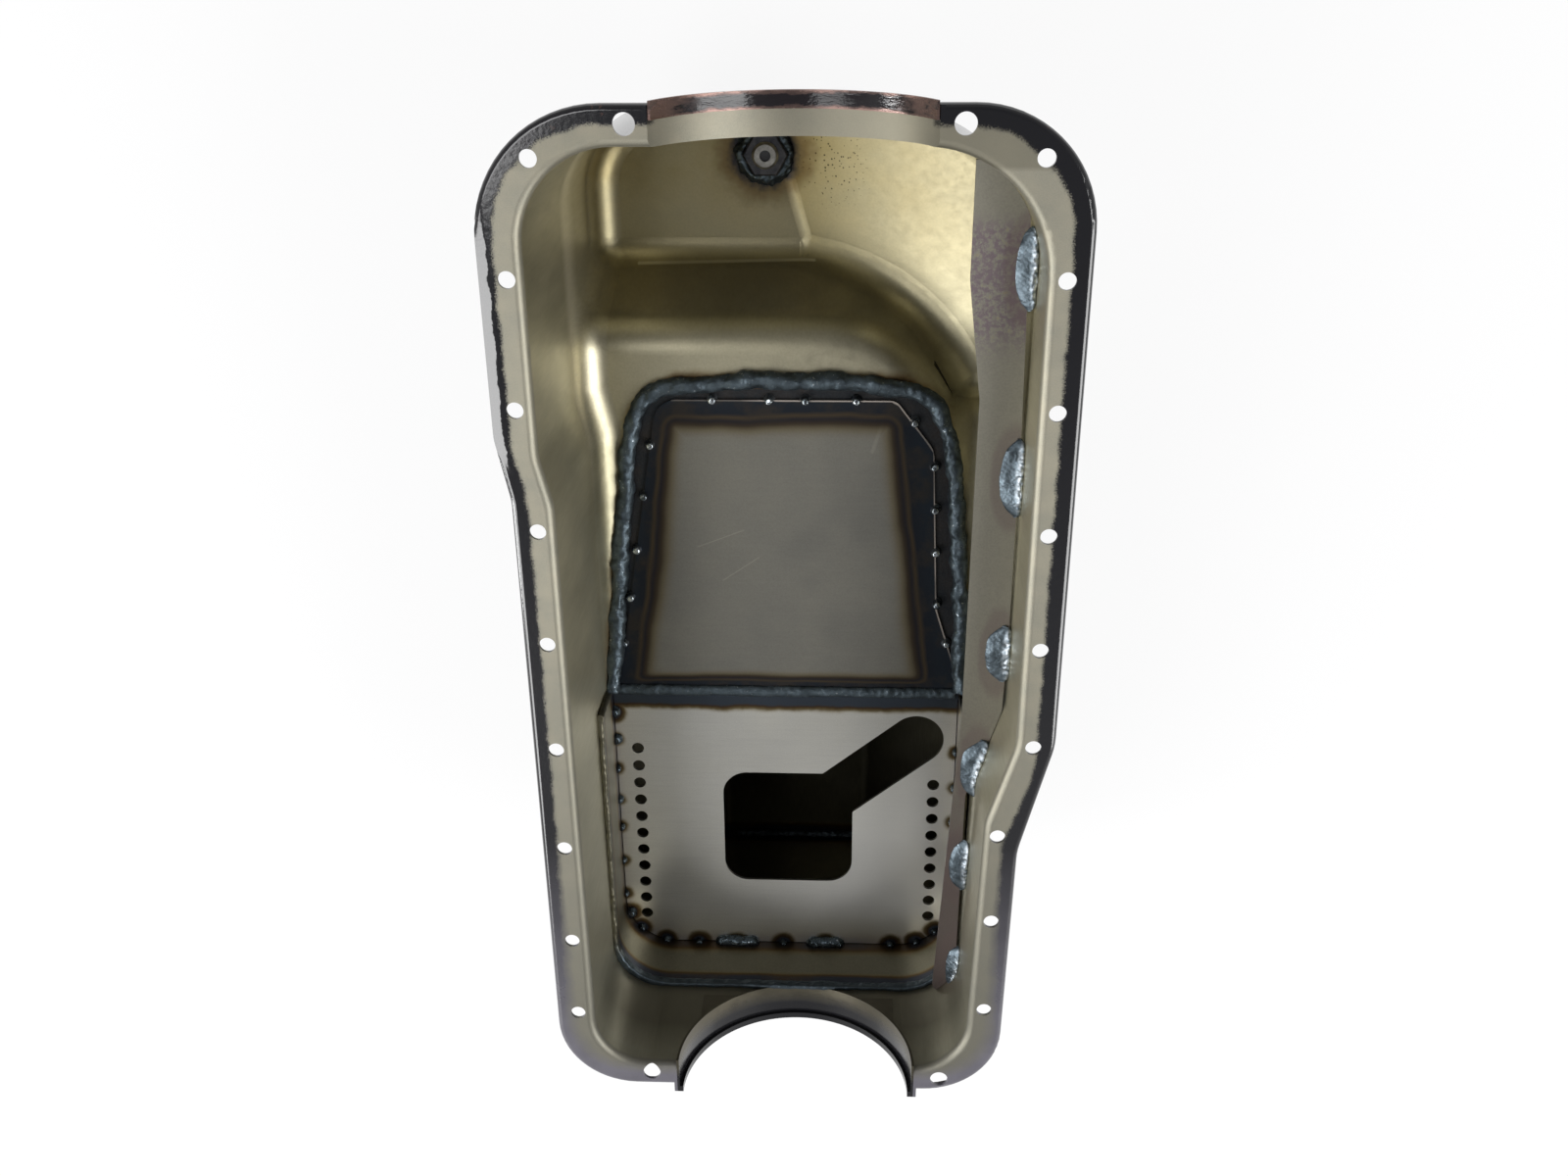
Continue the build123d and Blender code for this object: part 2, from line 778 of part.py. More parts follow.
with BuildPart() as skirt_weld:
    with BuildSketch(Plane.XY.offset(-depth_skirt)):
        add(outline(leaned(rail_inner, depth_skirt), sheet))
        add(outline(behind_step), mode=Mode.INTERSECT)
    extrude(amount=-skirt_bead, taper=22)
    with BuildSketch(Plane.XY.offset(-depth_skirt)):
        with Locations((box_right + 4, shelf_end_y + 0.6)):
            Rectangle(5.4, 2.4)
    extrude(amount=depth_skirt - depth_hump)
    add(prism(outline(box_plan, sheet), -depth_hump - 20, 60), mode=Mode.SUBTRACT)
skirt_weld.part.label = "skirt_weld"
export_step(skirt_weld.part, "parts/skirt_weld.step")

with BuildPart() as skirt_inner_weld:
    with BuildSketch(Plane.XY.offset(-depth_box_edge - inner_bead_height / 2)):
        add(outline(box_plan, sheet + 2))
        add(outline(box_plan, -inner_bead_reach), mode=Mode.SUBTRACT)
        with Locations((0, step_y)):
            Rectangle(400, 400, align=(Align.CENTER, Align.MAX), mode=Mode.INTERSECT)
    extrude(amount=inner_bead_height)
    with Locations((box_left - sheet / 2, step_y + 0.6, -depth_box_edge + inner_bead_height / 2)):
        Cylinder(corner_bead_radius, 32, align=(Align.CENTER, Align.CENTER, Align.MAX))
    add(cavity.part, mode=Mode.INTERSECT)
    add(sump_wall_band.part, mode=Mode.SUBTRACT)
    add(shell_sump_weld.part, mode=Mode.SUBTRACT)
skirt_inner_weld.part.label = "skirt_inner_weld"
export_step(skirt_inner_weld.part, "parts/skirt_inner_weld.step")

with BuildPart() as baffle_seam_weld:
    with BuildSketch(Plane.YZ.offset(box_left + 1.5)):
        with Locations((seam_y, -depth_deck + seam_bead_height - seam_bead_radius)):
            Circle(seam_bead_radius)
        with Locations((seam_y, -depth_deck)):
            Rectangle(4 * seam_bead_radius, 2 * seam_bead_radius, align=(Align.CENTER, Align.MAX), mode=Mode.SUBTRACT)
    extrude(amount=box_right - box_left - 3)
baffle_seam_weld.part.label = "baffle_seam_weld"
export_step(baffle_seam_weld.part, "parts/baffle_seam_weld.step")

front_tack_points = [
    (-41, 55.5),
    (-14, 55.5),
    (3, 55.5),
    (27, 55.5),
    (-71.3, 32.9),
    (-75.6, 6.6),
    (-80.4, -22),
    (-84.7, -48),
    (-89.1, -74),
    (55, 45),
    (65, 23),
    (66, 0.8),
    (67, -22),
    (68.4, -50),
    (74, -72),
]
with BuildPart() as front_plate_tacks:
    with Locations([(x, y, -depth_deck - plate) for x, y in front_tack_points]):
        Cone(tack_radius, tack_radius / 2, plate + tack_height, align=(Align.CENTER, Align.CENTER, Align.MIN))
    add(front_baffle_plate.part, mode=Mode.SUBTRACT)
    add(shell_sump_weld.part, mode=Mode.SUBTRACT)
front_plate_tacks.part.label = "front_plate_tacks"
export_step(front_plate_tacks.part, "parts/front_plate_tacks.step")

rear_tack_points = [
    (box_left, -114.5, 4.2),
    (box_left, -131, 4.2),
    (box_left, -149, 2.7),
    (box_left, -168.4, 2.7),
    (box_left, -186, 2.7),
    (box_left, -208, 2.7),
    (box_left, -230, 2.7),
    (-94.8, -243, 4.4),
    (-89, -253.2, 2.7),
    (-75.1, -261.2, 2.7),
    (-56.9, box_rear, 2.7),
    (-9.4, box_rear, 2.4),
    (50, box_rear, 2.7),
    (64.6, -259.6, 2.7),
    (75, -252, 2.7),
    (box_right, -136, 2.7),
    (box_right, -158, 2.7),
    (box_right, -180, 2.7),
]
rear_stitches = [
    (-35.3, 24),
    (13.8, 21),
]
deck_plane = Plane.XY.offset(-depth_deck - plate)
with BuildPart() as rear_plate_tacks:
    for x, y, radius in rear_tack_points:
        with Locations((x, y, -depth_deck - plate)):
            Cone(radius, radius / 2, plate + tack_height, align=(Align.CENTER, Align.CENTER, Align.MIN))
    for x, length in rear_stitches:
        add(oval_bead(deck_plane, (x, box_rear), length, stitch_width, stitch_height, 0))
    add(well, mode=Mode.INTERSECT)
    add(rear_baffle_plate.part, mode=Mode.SUBTRACT)
rear_plate_tacks.part.label = "rear_plate_tacks"
export_step(rear_plate_tacks.part, "parts/rear_plate_tacks.step")

with BuildPart() as sump_floor_weld:
    with BuildSketch(Plane.YZ.offset(box_floor_left + 6)):
        with Locations((box_rear, -depth_rear)):
            Circle(3.2)
            Rectangle(10, 10, align=(Align.MIN, Align.MIN), mode=Mode.INTERSECT)
    extrude(amount=box_floor_right - box_floor_left - 12)
sump_floor_weld.part.label = "sump_floor_weld"
export_step(sump_floor_weld.part, "parts/sump_floor_weld.step")

with BuildPart() as scraper_welds:
    for x, y, length, width in scraper_pads:
        add(oval_bead(scraper_plane.offset(scraper_thick), (x, y), length, width, pad_height, 90))
    add(trough(), mode=Mode.INTERSECT)
scraper_welds.part.label = "scraper_welds"
export_step(scraper_welds.part, "parts/scraper_welds.step")
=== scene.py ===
import math

import bmesh
import bpy
from mathutils import Matrix, Vector, noise


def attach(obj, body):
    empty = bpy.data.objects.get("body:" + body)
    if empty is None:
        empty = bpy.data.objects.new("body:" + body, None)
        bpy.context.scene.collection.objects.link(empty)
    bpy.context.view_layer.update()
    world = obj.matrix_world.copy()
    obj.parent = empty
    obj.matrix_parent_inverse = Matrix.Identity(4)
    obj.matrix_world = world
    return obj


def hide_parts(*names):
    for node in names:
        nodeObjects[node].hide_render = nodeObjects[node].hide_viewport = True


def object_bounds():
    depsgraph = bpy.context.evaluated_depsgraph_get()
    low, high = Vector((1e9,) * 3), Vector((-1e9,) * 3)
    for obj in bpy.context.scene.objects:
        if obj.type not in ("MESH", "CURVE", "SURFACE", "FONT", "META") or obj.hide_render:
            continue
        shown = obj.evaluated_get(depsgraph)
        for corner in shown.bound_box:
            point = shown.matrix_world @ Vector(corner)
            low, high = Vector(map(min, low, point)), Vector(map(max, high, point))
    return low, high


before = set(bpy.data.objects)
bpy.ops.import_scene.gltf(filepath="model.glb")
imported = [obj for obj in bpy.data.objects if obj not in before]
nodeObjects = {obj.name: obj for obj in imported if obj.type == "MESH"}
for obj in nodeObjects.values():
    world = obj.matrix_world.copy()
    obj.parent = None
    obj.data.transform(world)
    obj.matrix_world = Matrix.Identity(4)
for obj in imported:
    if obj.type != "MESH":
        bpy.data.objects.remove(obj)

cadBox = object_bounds()
mm = 0.001
print("frame loaded,", len(nodeObjects), "pieces")


# ---- small helpers for node materials ----
def startMaterial(name):
    material = bpy.data.materials.new(name)
    material.use_nodes = True
    material.node_tree.nodes.clear()
    return material, material.node_tree


def wire(tree, socket, value):
    if isinstance(value, bpy.types.NodeSocket):
        tree.links.new(value, socket)
    elif value is not None:
        socket.default_value = value


def mathNode(tree, operation, first, second=None, third=None, clamp=False):
    node = tree.nodes.new("ShaderNodeMath")
    node.operation = operation
    node.use_clamp = clamp
    wire(tree, node.inputs[0], first)
    wire(tree, node.inputs[1], second)
    wire(tree, node.inputs[2], third)
    return node.outputs[0]


def product(tree, first, *others):
    for other in others:
        first = mathNode(tree, "MULTIPLY", first, other)
    return first


def wavered(tree, value, cloud, size):
    # an edge that wanders by half of size to either side with a noise
    return mathNode(tree, "MULTIPLY_ADD", mathNode(tree, "SUBTRACT", cloud, 0.5), size, value)


def vectorNode(tree, operation, first, second=None):
    node = tree.nodes.new("ShaderNodeVectorMath")
    node.operation = operation
    wire(tree, node.inputs[0], first)
    wire(tree, node.inputs[1], second)
    return node.outputs[1 if operation in ("DOT_PRODUCT", "DISTANCE", "LENGTH") else 0]


def objectSpace(tree):
    return tree.nodes.new("ShaderNodeTexCoord").outputs["Object"]


def splitAxes(tree, vector):
    node = tree.nodes.new("ShaderNodeSeparateXYZ")
    wire(tree, node.inputs[0], vector)
    return node.outputs[0], node.outputs[1], node.outputs[2]


def joinAxes(tree, x, y, z):
    node = tree.nodes.new("ShaderNodeCombineXYZ")
    for socket, value in zip(node.inputs, (x, y, z)):
        wire(tree, socket, value)
    return node.outputs[0]


def stretched(tree, vector, sizes):
    node = tree.nodes.new("ShaderNodeMapping")
    wire(tree, node.inputs["Vector"], vector)
    node.inputs["Scale"].default_value = sizes
    return node.outputs[0]


def noiseNode(tree, vector, scale, detail=4.0, roughness=0.55, distortion=0.0):
    node = tree.nodes.new("ShaderNodeTexNoise")
    wire(tree, node.inputs["Vector"], vector)
    node.inputs["Scale"].default_value = scale
    node.inputs["Detail"].default_value = detail
    node.inputs["Roughness"].default_value = roughness
    node.inputs["Distortion"].default_value = distortion
    return node.outputs["Fac"]


def rampNode(tree, factor, stops, smooth=False):
    node = tree.nodes.new("ShaderNodeValToRGB")
    node.color_ramp.interpolation = "EASE" if smooth else "LINEAR"
    elements = node.color_ramp.elements
    while len(elements) < len(stops):
        elements.new(0.5)
    for element, (place, colour) in zip(elements, stops):
        element.position = place
        element.color = (*colour, 1.0) if isinstance(colour, tuple) else (colour, colour, colour, 1.0)
    wire(tree, node.inputs[0], factor)
    return node.outputs[0]


def spread(tree, value, low, high, toLow=0.0, toHigh=1.0, smooth=False):
    node = tree.nodes.new("ShaderNodeMapRange")
    node.interpolation_type = "SMOOTHSTEP" if smooth else "LINEAR"
    wire(tree, node.inputs["Value"], value)
    node.inputs["From Min"].default_value = low
    node.inputs["From Max"].default_value = high
    node.inputs["To Min"].default_value = toLow
    node.inputs["To Max"].default_value = toHigh
    return node.outputs[0]


def mixColour(tree, factor, first, second):
    node = tree.nodes.new("ShaderNodeMix")
    node.data_type = "RGBA"
    node.clamp_factor = True
    wire(tree, node.inputs[0], factor)
    wire(tree, node.inputs[6], (*first, 1.0) if isinstance(first, tuple) else first)
    wire(tree, node.inputs[7], (*second, 1.0) if isinstance(second, tuple) else second)
    return node.outputs[2]


def mixValue(tree, factor, first, second):
    node = tree.nodes.new("ShaderNodeMix")
    node.data_type = "FLOAT"
    node.clamp_factor = True
    wire(tree, node.inputs[0], factor)
    wire(tree, node.inputs[2], first)
    wire(tree, node.inputs[3], second)
    return node.outputs[0]


def mixVector(tree, factor, first, second):
    node = tree.nodes.new("ShaderNodeMix")
    node.data_type = "VECTOR"
    wire(tree, node.inputs[0], factor)
    wire(tree, node.inputs[4], first)
    wire(tree, node.inputs[5], second)
    return node.outputs[1]


def bumpNode(tree, height, strength, distance, below=None):
    node = tree.nodes.new("ShaderNodeBump")
    node.inputs["Strength"].default_value = strength
    node.inputs["Distance"].default_value = distance
    wire(tree, node.inputs["Height"], height)
    wire(tree, node.inputs["Normal"], below)
    return node.outputs[0]


def surface(tree, colour, metallic, roughness, normal):
    shader = tree.nodes.new("ShaderNodeBsdfPrincipled")
    wire(tree, shader.inputs["Base Color"], (*colour, 1.0) if isinstance(colour, tuple) else colour)
    wire(tree, shader.inputs["Metallic"], metallic)
    wire(tree, shader.inputs["Roughness"], roughness)
    wire(tree, shader.inputs["Normal"], normal)
    output = tree.nodes.new("ShaderNodeOutputMaterial")
    tree.links.new(shader.outputs[0], output.inputs["Surface"])
    return shader


def dress(name, material):
    piece = nodeObjects[name]
    piece.data.materials.clear()
    piece.data.materials.append(material)


# ---- where the heat of the welds reached ----
opening = {
    "frontY": 63.0 * mm,
    "leftX": -77.0 * mm,
    "leftY": 49.0 * mm,
    "leftSlope": 0.1315,
    "rightX": 67.0 * mm,
    "rightY": 47.6 * mm,
    "rightSlope": -0.1238,
    "seamY": -101.4 * mm,
    "corner": 23.0 * mm,
}


def beadDistance(tree, x, y):
    # metres outside the bead round the opening, negative inside it
    left = mathNode(tree, "SUBTRACT", y, opening["leftY"])
    left = mathNode(tree, "MULTIPLY_ADD", left, opening["leftSlope"], opening["leftX"])
    left = mathNode(tree, "SUBTRACT", left, x)
    right = mathNode(tree, "SUBTRACT", y, opening["rightY"])
    right = mathNode(tree, "MULTIPLY_ADD", right, opening["rightSlope"], opening["rightX"])
    right = mathNode(tree, "SUBTRACT", x, right)
    front = mathNode(tree, "SUBTRACT", y, opening["frontY"])
    sides = mathNode(tree, "MAXIMUM", left, right)
    sides = mathNode(tree, "ADD", sides, opening["corner"])
    front = mathNode(tree, "ADD", front, opening["corner"])
    pastSides = mathNode(tree, "MAXIMUM", sides, 0.0)
    pastFront = mathNode(tree, "MAXIMUM", front, 0.0)
    outward = vectorNode(tree, "LENGTH", joinAxes(tree, pastSides, pastFront, 0.0))
    within = mathNode(tree, "MINIMUM", mathNode(tree, "MAXIMUM", sides, front), 0.0)
    around = mathNode(tree, "ADD", outward, within)
    return mathNode(tree, "SUBTRACT", around, opening["corner"])


def segmentGap(tree, x, y, start, end):
    # distance in plan from a straight line between two points given in millimetres
    ax, ay, bx, by = (value * mm for value in (*start, *end))
    length = math.hypot(bx - ax, by - ay)
    ux, uy = (bx - ax) / length, (by - ay) / length
    dx = mathNode(tree, "SUBTRACT", x, ax)
    dy = mathNode(tree, "SUBTRACT", y, ay)
    along = mathNode(tree, "MULTIPLY_ADD", dy, uy, product(tree, dx, ux))
    along = mathNode(tree, "MINIMUM", mathNode(tree, "MAXIMUM", along, 0.0), length)
    dx = mathNode(tree, "MULTIPLY_ADD", along, -ux, dx)
    dy = mathNode(tree, "MULTIPLY_ADD", along, -uy, dy)
    return vectorNode(tree, "LENGTH", joinAxes(tree, dx, dy, 0.0))


def insideOf(tree, place, middleX, lowY, highY, levelZ):
    # 1 where a face looks at the pan's middle line, 0 where it looks away
    x, y, z = splitAxes(tree, place)
    along = mathNode(tree, "MINIMUM", mathNode(tree, "MAXIMUM", y, lowY), highY)
    away = joinAxes(
        tree,
        mathNode(tree, "SUBTRACT", x, middleX),
        mathNode(tree, "SUBTRACT", y, along),
        mathNode(tree, "SUBTRACT", z, levelZ),
    )
    facing = tree.nodes.new("ShaderNodeNewGeometry").outputs["Normal"]
    turned = vectorNode(tree, "DOT_PRODUCT", facing, away)
    return mathNode(tree, "LESS_THAN", turned, 0.0)


# ---- stamped shell: bare golden steel inside, gloss black outside ----
shellLook = {
    "olive": (0.285, 0.264, 0.178),
    "straw": (0.420, 0.388, 0.265),
    "gold": (0.235, 0.195, 0.098),
    "grain": (0.120, 0.110, 0.080),
    "greyRear": (0.290, 0.282, 0.225),
    "rearWallShade": (0.120, 0.110, 0.078),
    "crown": (0.560, 0.520, 0.385),
    "mist": (0.300, 0.292, 0.245),
    "mistDark": (0.170, 0.160, 0.140),
    "mistPale": (0.360, 0.330, 0.260),
    "mistRear": (0.170, 0.165, 0.140),
    "seatMistShade": (0.170, 0.160, 0.128),
    "paint": (0.008, 0.008, 0.010),
    "rearPaintReflection": (0.105, 0.100, 0.120),
    "rub": (0.300, 0.150, 0.100),
    "blue": (0.060, 0.072, 0.090),
    "brown": (0.070, 0.045, 0.024),
    "heatGold": (0.190, 0.130, 0.060),
    "heatPale": (0.300, 0.260, 0.150),
    "spatter": (0.030, 0.025, 0.020),
    "scorched": (0.085, 0.052, 0.022),
    "burnt": (0.022, 0.024, 0.030),
    "foldHighlight": (0.800, 0.770, 0.620),
}
shellPlaces = {
    "bung": (-0.017, 0.160, -0.150),
    "spatter": (0.008, 0.155, -0.128),
    "foldStart": (-79.5, 108.6),
    "foldEnd": (6.2, 110.2),
    "humpCorner": (0.0668, 0.0680, -0.0890),
    "humpCornerReach": 0.014,
    "maskFront": 0.1936,
    "maskRear": -0.2685,
    "sagNormal": (-0.235, -0.060, 0.970),
}


def steelColour(tree, place, y, z):
    grain = noiseNode(tree, stretched(tree, place, (1.0, 1.0, 0.12)), 900, 3, 0.6)
    cloud = noiseNode(tree, stretched(tree, place, (1.0, 1.0, 0.4)), 22, 4, 0.6)
    colour = mixColour(tree, spread(tree, cloud, 0.35, 0.65), shellLook["olive"], shellLook["straw"])
    rear = spread(tree, y, 0.05, -0.25, 0.0, 0.75)
    colour = mixColour(tree, rear, colour, shellLook["greyRear"])
    # painted shade: the rear wall below the flange is darkened, as it faces away from the lamps
    wall = product(tree, spread(tree, y, -0.225, -0.258), spread(tree, z, -0.010, -0.030), 0.85)
    colour = mixColour(tree, wall, colour, shellLook["rearWallShade"])
    # painted highlight: a much lighter colour on the front of the hump's top and on its brow
    crown = product(
        tree,
        spread(tree, z, -0.104, -0.090),
        spread(tree, z, -0.074, -0.083),
        spread(tree, y, 0.030, 0.060),
    )
    colour = mixColour(tree, crown, colour, shellLook["crown"])
    # painted shade: the deep front sump is darkened towards a deeper gold
    front = product(
        tree,
        spread(tree, y, 0.07, 0.15),
        spread(tree, z, -0.07, -0.135),
        spread(tree, cloud, 0.30, 0.60, 0.35, 0.9),
    )
    colour = mixColour(tree, front, colour, shellLook["gold"])
    return mixColour(tree, spread(tree, grain, 0.3, 0.7, 0.0, 0.16), colour, shellLook["grain"])


def maskedBand(tree, x, y, leftLine, wobble, dust):
    # the masked band of the flange, inside a line that runs through the bolt holes
    rightLine = spread(tree, y, -0.080, -0.138, 0.1094, 0.0962, smooth=True)
    fromLeft = mathNode(tree, "SUBTRACT", x, leftLine)
    fromRight = mathNode(tree, "SUBTRACT", rightLine, x)
    fromSide = mathNode(tree, "MINIMUM", fromLeft, fromRight)
    fromFront = mathNode(tree, "SUBTRACT", shellPlaces["maskFront"], y)
    fromRear = mathNode(tree, "SUBTRACT", y, shellPlaces["maskRear"])
    fromEnd = mathNode(tree, "MINIMUM", fromFront, fromRear)
    corner = spread(tree, y, -0.02, 0.02, 0.031, 0.043)
    cornerX = mathNode(tree, "MAXIMUM", mathNode(tree, "SUBTRACT", corner, fromSide), 0.0)
    cornerY = mathNode(tree, "MAXIMUM", mathNode(tree, "SUBTRACT", corner, fromEnd), 0.0)
    reach = vectorNode(tree, "LENGTH", joinAxes(tree, cornerX, cornerY, 0.0))
    band = mathNode(tree, "SUBTRACT", corner, reach)
    band = wavered(tree, wavered(tree, band, wobble, 0.0035), dust, 0.0040)
    softness = spread(tree, y, -0.12, -0.24, 0.0016, 0.0075)
    return mathNode(tree, "ADD", mathNode(tree, "DIVIDE", band, softness), 0.5, clamp=True)


def flangeMist(tree, place, x, y, wobble, seat):
    # thin overspray on the flange and on the seat of the front seal, with painted shade on the seat, most
    # towards its right end
    speck = noiseNode(tree, place, 2600, 2, 0.7)
    speck = spread(tree, speck, 0.42, 0.62, 0.0, 0.5)
    mist = mixColour(tree, speck, shellLook["mist"], shellLook["mistDark"])
    mist = mixColour(tree, spread(tree, wobble, 0.35, 0.7, 0.0, 0.5), mist, shellLook["mistPale"])
    mist = mixColour(tree, spread(tree, y, 0.00, -0.22, 0.0, 0.75), mist, shellLook["mistRear"])
    # painted shade: the seat darkens towards its right end
    seatShade = product(tree, seat, spread(tree, x, -0.03, 0.04, 0.2, 0.8))
    return mixColour(tree, seatShade, mist, shellLook["seatMistShade"])


def openingHeat(tree, steel, x, y, z, wobble):
    heat = mathNode(tree, "ADD", beadDistance(tree, x, y), 0.0015)
    heat = wavered(tree, heat, wobble, 0.005)
    tint = rampNode(
        tree,
        spread(tree, heat, 0.0, 0.011),
        [
            (0.0, shellLook["blue"]),
            (0.22, shellLook["blue"]),
            (0.36, shellLook["brown"]),
            (0.52, shellLook["heatGold"]),
            (1.0, shellLook["heatPale"]),
        ],
    )
    heated = product(tree, spread(tree, heat, 0.010, 0.0045, smooth=True), spread(tree, z, -0.080, -0.090))
    return mixColour(tree, heated, steel, tint), heated


def bungMarks(tree, steel, place, wobble):
    # spatter, then scorched and burnt rings round the front bung
    dots = tree.nodes.new("ShaderNodeTexVoronoi")
    wire(tree, dots.inputs["Vector"], place)
    dots.inputs["Scale"].default_value = 520
    fromDots = vectorNode(tree, "DISTANCE", place, shellPlaces["spatter"])
    dotSize = spread(tree, fromDots, 0.006, 0.030, 0.34, 0.06)
    spatter = mathNode(tree, "LESS_THAN", dots.outputs["Distance"], dotSize)
    spatter = product(tree, spatter, spread(tree, fromDots, 0.034, 0.018, 0.0, 0.85))
    steel = mixColour(tree, spatter, steel, shellLook["spatter"])
    fromBung = wavered(tree, vectorNode(tree, "DISTANCE", place, shellPlaces["bung"]), wobble, 0.014)
    scorched = spread(tree, fromBung, 0.029, 0.017, 0.0, 0.7, smooth=True)
    steel = mixColour(tree, scorched, steel, shellLook["scorched"])
    burnt = spread(tree, fromBung, 0.019, 0.013, 0.0, 0.95, smooth=True)
    return mixColour(tree, burnt, steel, shellLook["burnt"])


def paintFoldHighlight(tree, steel, x, y, z):
    # painted highlight: a thin light line along the crisp fold across the front sump
    fold = segmentGap(tree, x, y, shellPlaces["foldStart"], shellPlaces["foldEnd"])
    fold = product(tree, spread(tree, fold, 0.0008, 0.0003), spread(tree, z, -0.100, -0.112), 0.5)
    return mixColour(tree, fold, steel, shellLook["foldHighlight"])


def paintColour(tree, y, z, edge):
    rubbed = product(
        tree,
        spread(tree, edge, 0.60, 0.68),
        spread(tree, y, 0.17, 0.195),
        spread(tree, z, -0.012, -0.002),
        0.5,
    )
    # painted reflection: purple-grey on the black paint at the rear of the flange, where the paint is also
    # duller
    rearThinPaintReflection = product(
        tree,
        spread(tree, y, -0.13, -0.25),
        spread(tree, z, -0.014, -0.006),
        spread(tree, edge, 0.25, 0.6, 0.75, 1.0),
    )
    paint = mixColour(tree, rubbed, shellLook["paint"], shellLook["rub"])
    return mixColour(tree, rearThinPaintReflection, paint, shellLook["rearPaintReflection"]), rearThinPaintReflection


def saggedNormal(tree, x, y, z, leftLine, edge, bare):
    # the outer band of the left flange sags outward
    facing = tree.nodes.new("ShaderNodeNewGeometry").outputs["Normal"]
    sagEdge = mathNode(tree, "SUBTRACT", mathNode(tree, "SUBTRACT", leftLine, 0.0022), x)
    sagEdge = wavered(tree, sagEdge, edge, 0.006)
    sag = product(
        tree,
        spread(tree, y, 0.052, 0.064),
        spread(tree, y, 0.172, 0.150),
        spread(tree, sagEdge, 0.0, 0.0012),
        spread(tree, z, -0.008, -0.004),
        mathNode(tree, "SUBTRACT", 1.0, bare),
    )
    facing = mixVector(tree, sag, facing, shellPlaces["sagNormal"])
    return vectorNode(tree, "NORMALIZE", facing)


def makeShellMaterial():
    material, tree = startMaterial("stampedShell")
    place = objectSpace(tree)
    x, y, z = splitAxes(tree, place)
    wobble = noiseNode(tree, place, 90, 3, 0.6)
    dust = noiseNode(tree, place, 1500, 2, 0.7)
    edge = noiseNode(tree, place, 60, 4, 0.65)
    # bare inside, with the hump's front right corner, where the wall turns away from the middle
    inner = insideOf(tree, place, -0.005, -0.190, 0.120, 0.050)
    up = splitAxes(tree, tree.nodes.new("ShaderNodeNewGeometry").outputs["Normal"])[2]
    fromCorner = vectorNode(tree, "DISTANCE", place, shellPlaces["humpCorner"])
    nearCorner = mathNode(tree, "LESS_THAN", fromCorner, shellPlaces["humpCornerReach"])
    nearCorner = product(tree, nearCorner, mathNode(tree, "GREATER_THAN", up, -0.6))
    inner = mathNode(tree, "MAXIMUM", inner, nearCorner)
    leftLine = spread(tree, y, 0.036, 0.070, -0.1110, -0.1162, smooth=True)
    masked = maskedBand(tree, x, y, leftLine, wobble, dust)
    level = spread(tree, z, -0.0052, -0.0024, smooth=True)
    seat = product(tree, spread(tree, y, 0.1765, 0.1785), spread(tree, z, -0.046, -0.040))
    flat = mathNode(tree, "MAXIMUM", level, seat)
    bare = product(tree, inner, mathNode(tree, "MAXIMUM", masked, mathNode(tree, "SUBTRACT", 1.0, level)))
    # colour
    steel = steelColour(tree, place, y, z)
    mist = flangeMist(tree, place, x, y, wobble, seat)
    steel = mixColour(tree, product(tree, flat, 0.85), steel, mist)
    steel, heated = openingHeat(tree, steel, x, y, z, wobble)
    steel = bungMarks(tree, steel, place, wobble)
    steel = paintFoldHighlight(tree, steel, x, y, z)
    paint, rearThinPaintReflection = paintColour(tree, y, z, edge)
    colour = mixColour(tree, bare, paint, steel)
    # polish
    rough = noiseNode(tree, stretched(tree, place, (1.0, 1.0, 0.2)), 300, 3, 0.6)
    steelRough = mixValue(tree, flat, spread(tree, rough, 0.3, 0.7, 0.36, 0.42), 0.55)
    steelRough = mixValue(tree, heated, steelRough, 0.42)
    roughness = mixValue(tree, bare, mixValue(tree, rearThinPaintReflection, 0.13, 0.34), steelRough)
    orange = noiseNode(tree, place, 420, 2, 0.5)
    scratch = noiseNode(tree, stretched(tree, place, (1.0, 1.0, 0.05)), 1600, 2, 0.5)
    height = mixValue(tree, bare, orange, product(tree, scratch, 0.45))
    facing = saggedNormal(tree, x, y, z, leftLine, edge, bare)
    steep = mathNode(tree, "ABSOLUTE", vectorNode(tree, "DOT_PRODUCT", facing, (0.0, 0.0, 1.0)))
    metal = product(
        tree,
        bare,
        spread(tree, heated, 0.0, 1.0, 1.0, 0.75),
        spread(tree, steep, 0.65, 0.25, 1.0, 0.70),
    )
    shader = surface(tree, colour, metal, roughness, bumpNode(tree, height, 0.12, 0.0003, facing))
    wire(tree, shader.inputs["Specular IOR Level"], mixValue(tree, bare, 0.95, 0.5))
    return material


print("materials: shell")
dress("pan_shell", makeShellMaterial())

# ---- box: black outside, dull steel inside ----
boxLook = {
    "inside": (0.200, 0.188, 0.138),
    "insidePale": (0.205, 0.192, 0.138),
    "insideDark": (0.070, 0.061, 0.042),
    "paint": (0.010, 0.010, 0.012),
    "heatGold": (0.240, 0.190, 0.090),
    "heatBrown": (0.100, 0.065, 0.030),
    "heatBlue": (0.045, 0.050, 0.065),
    "heatSlate": (0.050, 0.058, 0.075),
}
boxHeat = {"skirtZ": -0.0615, "deckZ": -0.0940, "footY": -0.2600}


def heatBand(tree, value, level, wide, narrow):
    fromLevel = mathNode(tree, "ABSOLUTE", mathNode(tree, "SUBTRACT", value, level))
    return spread(tree, fromLevel, wide, narrow, smooth=True)


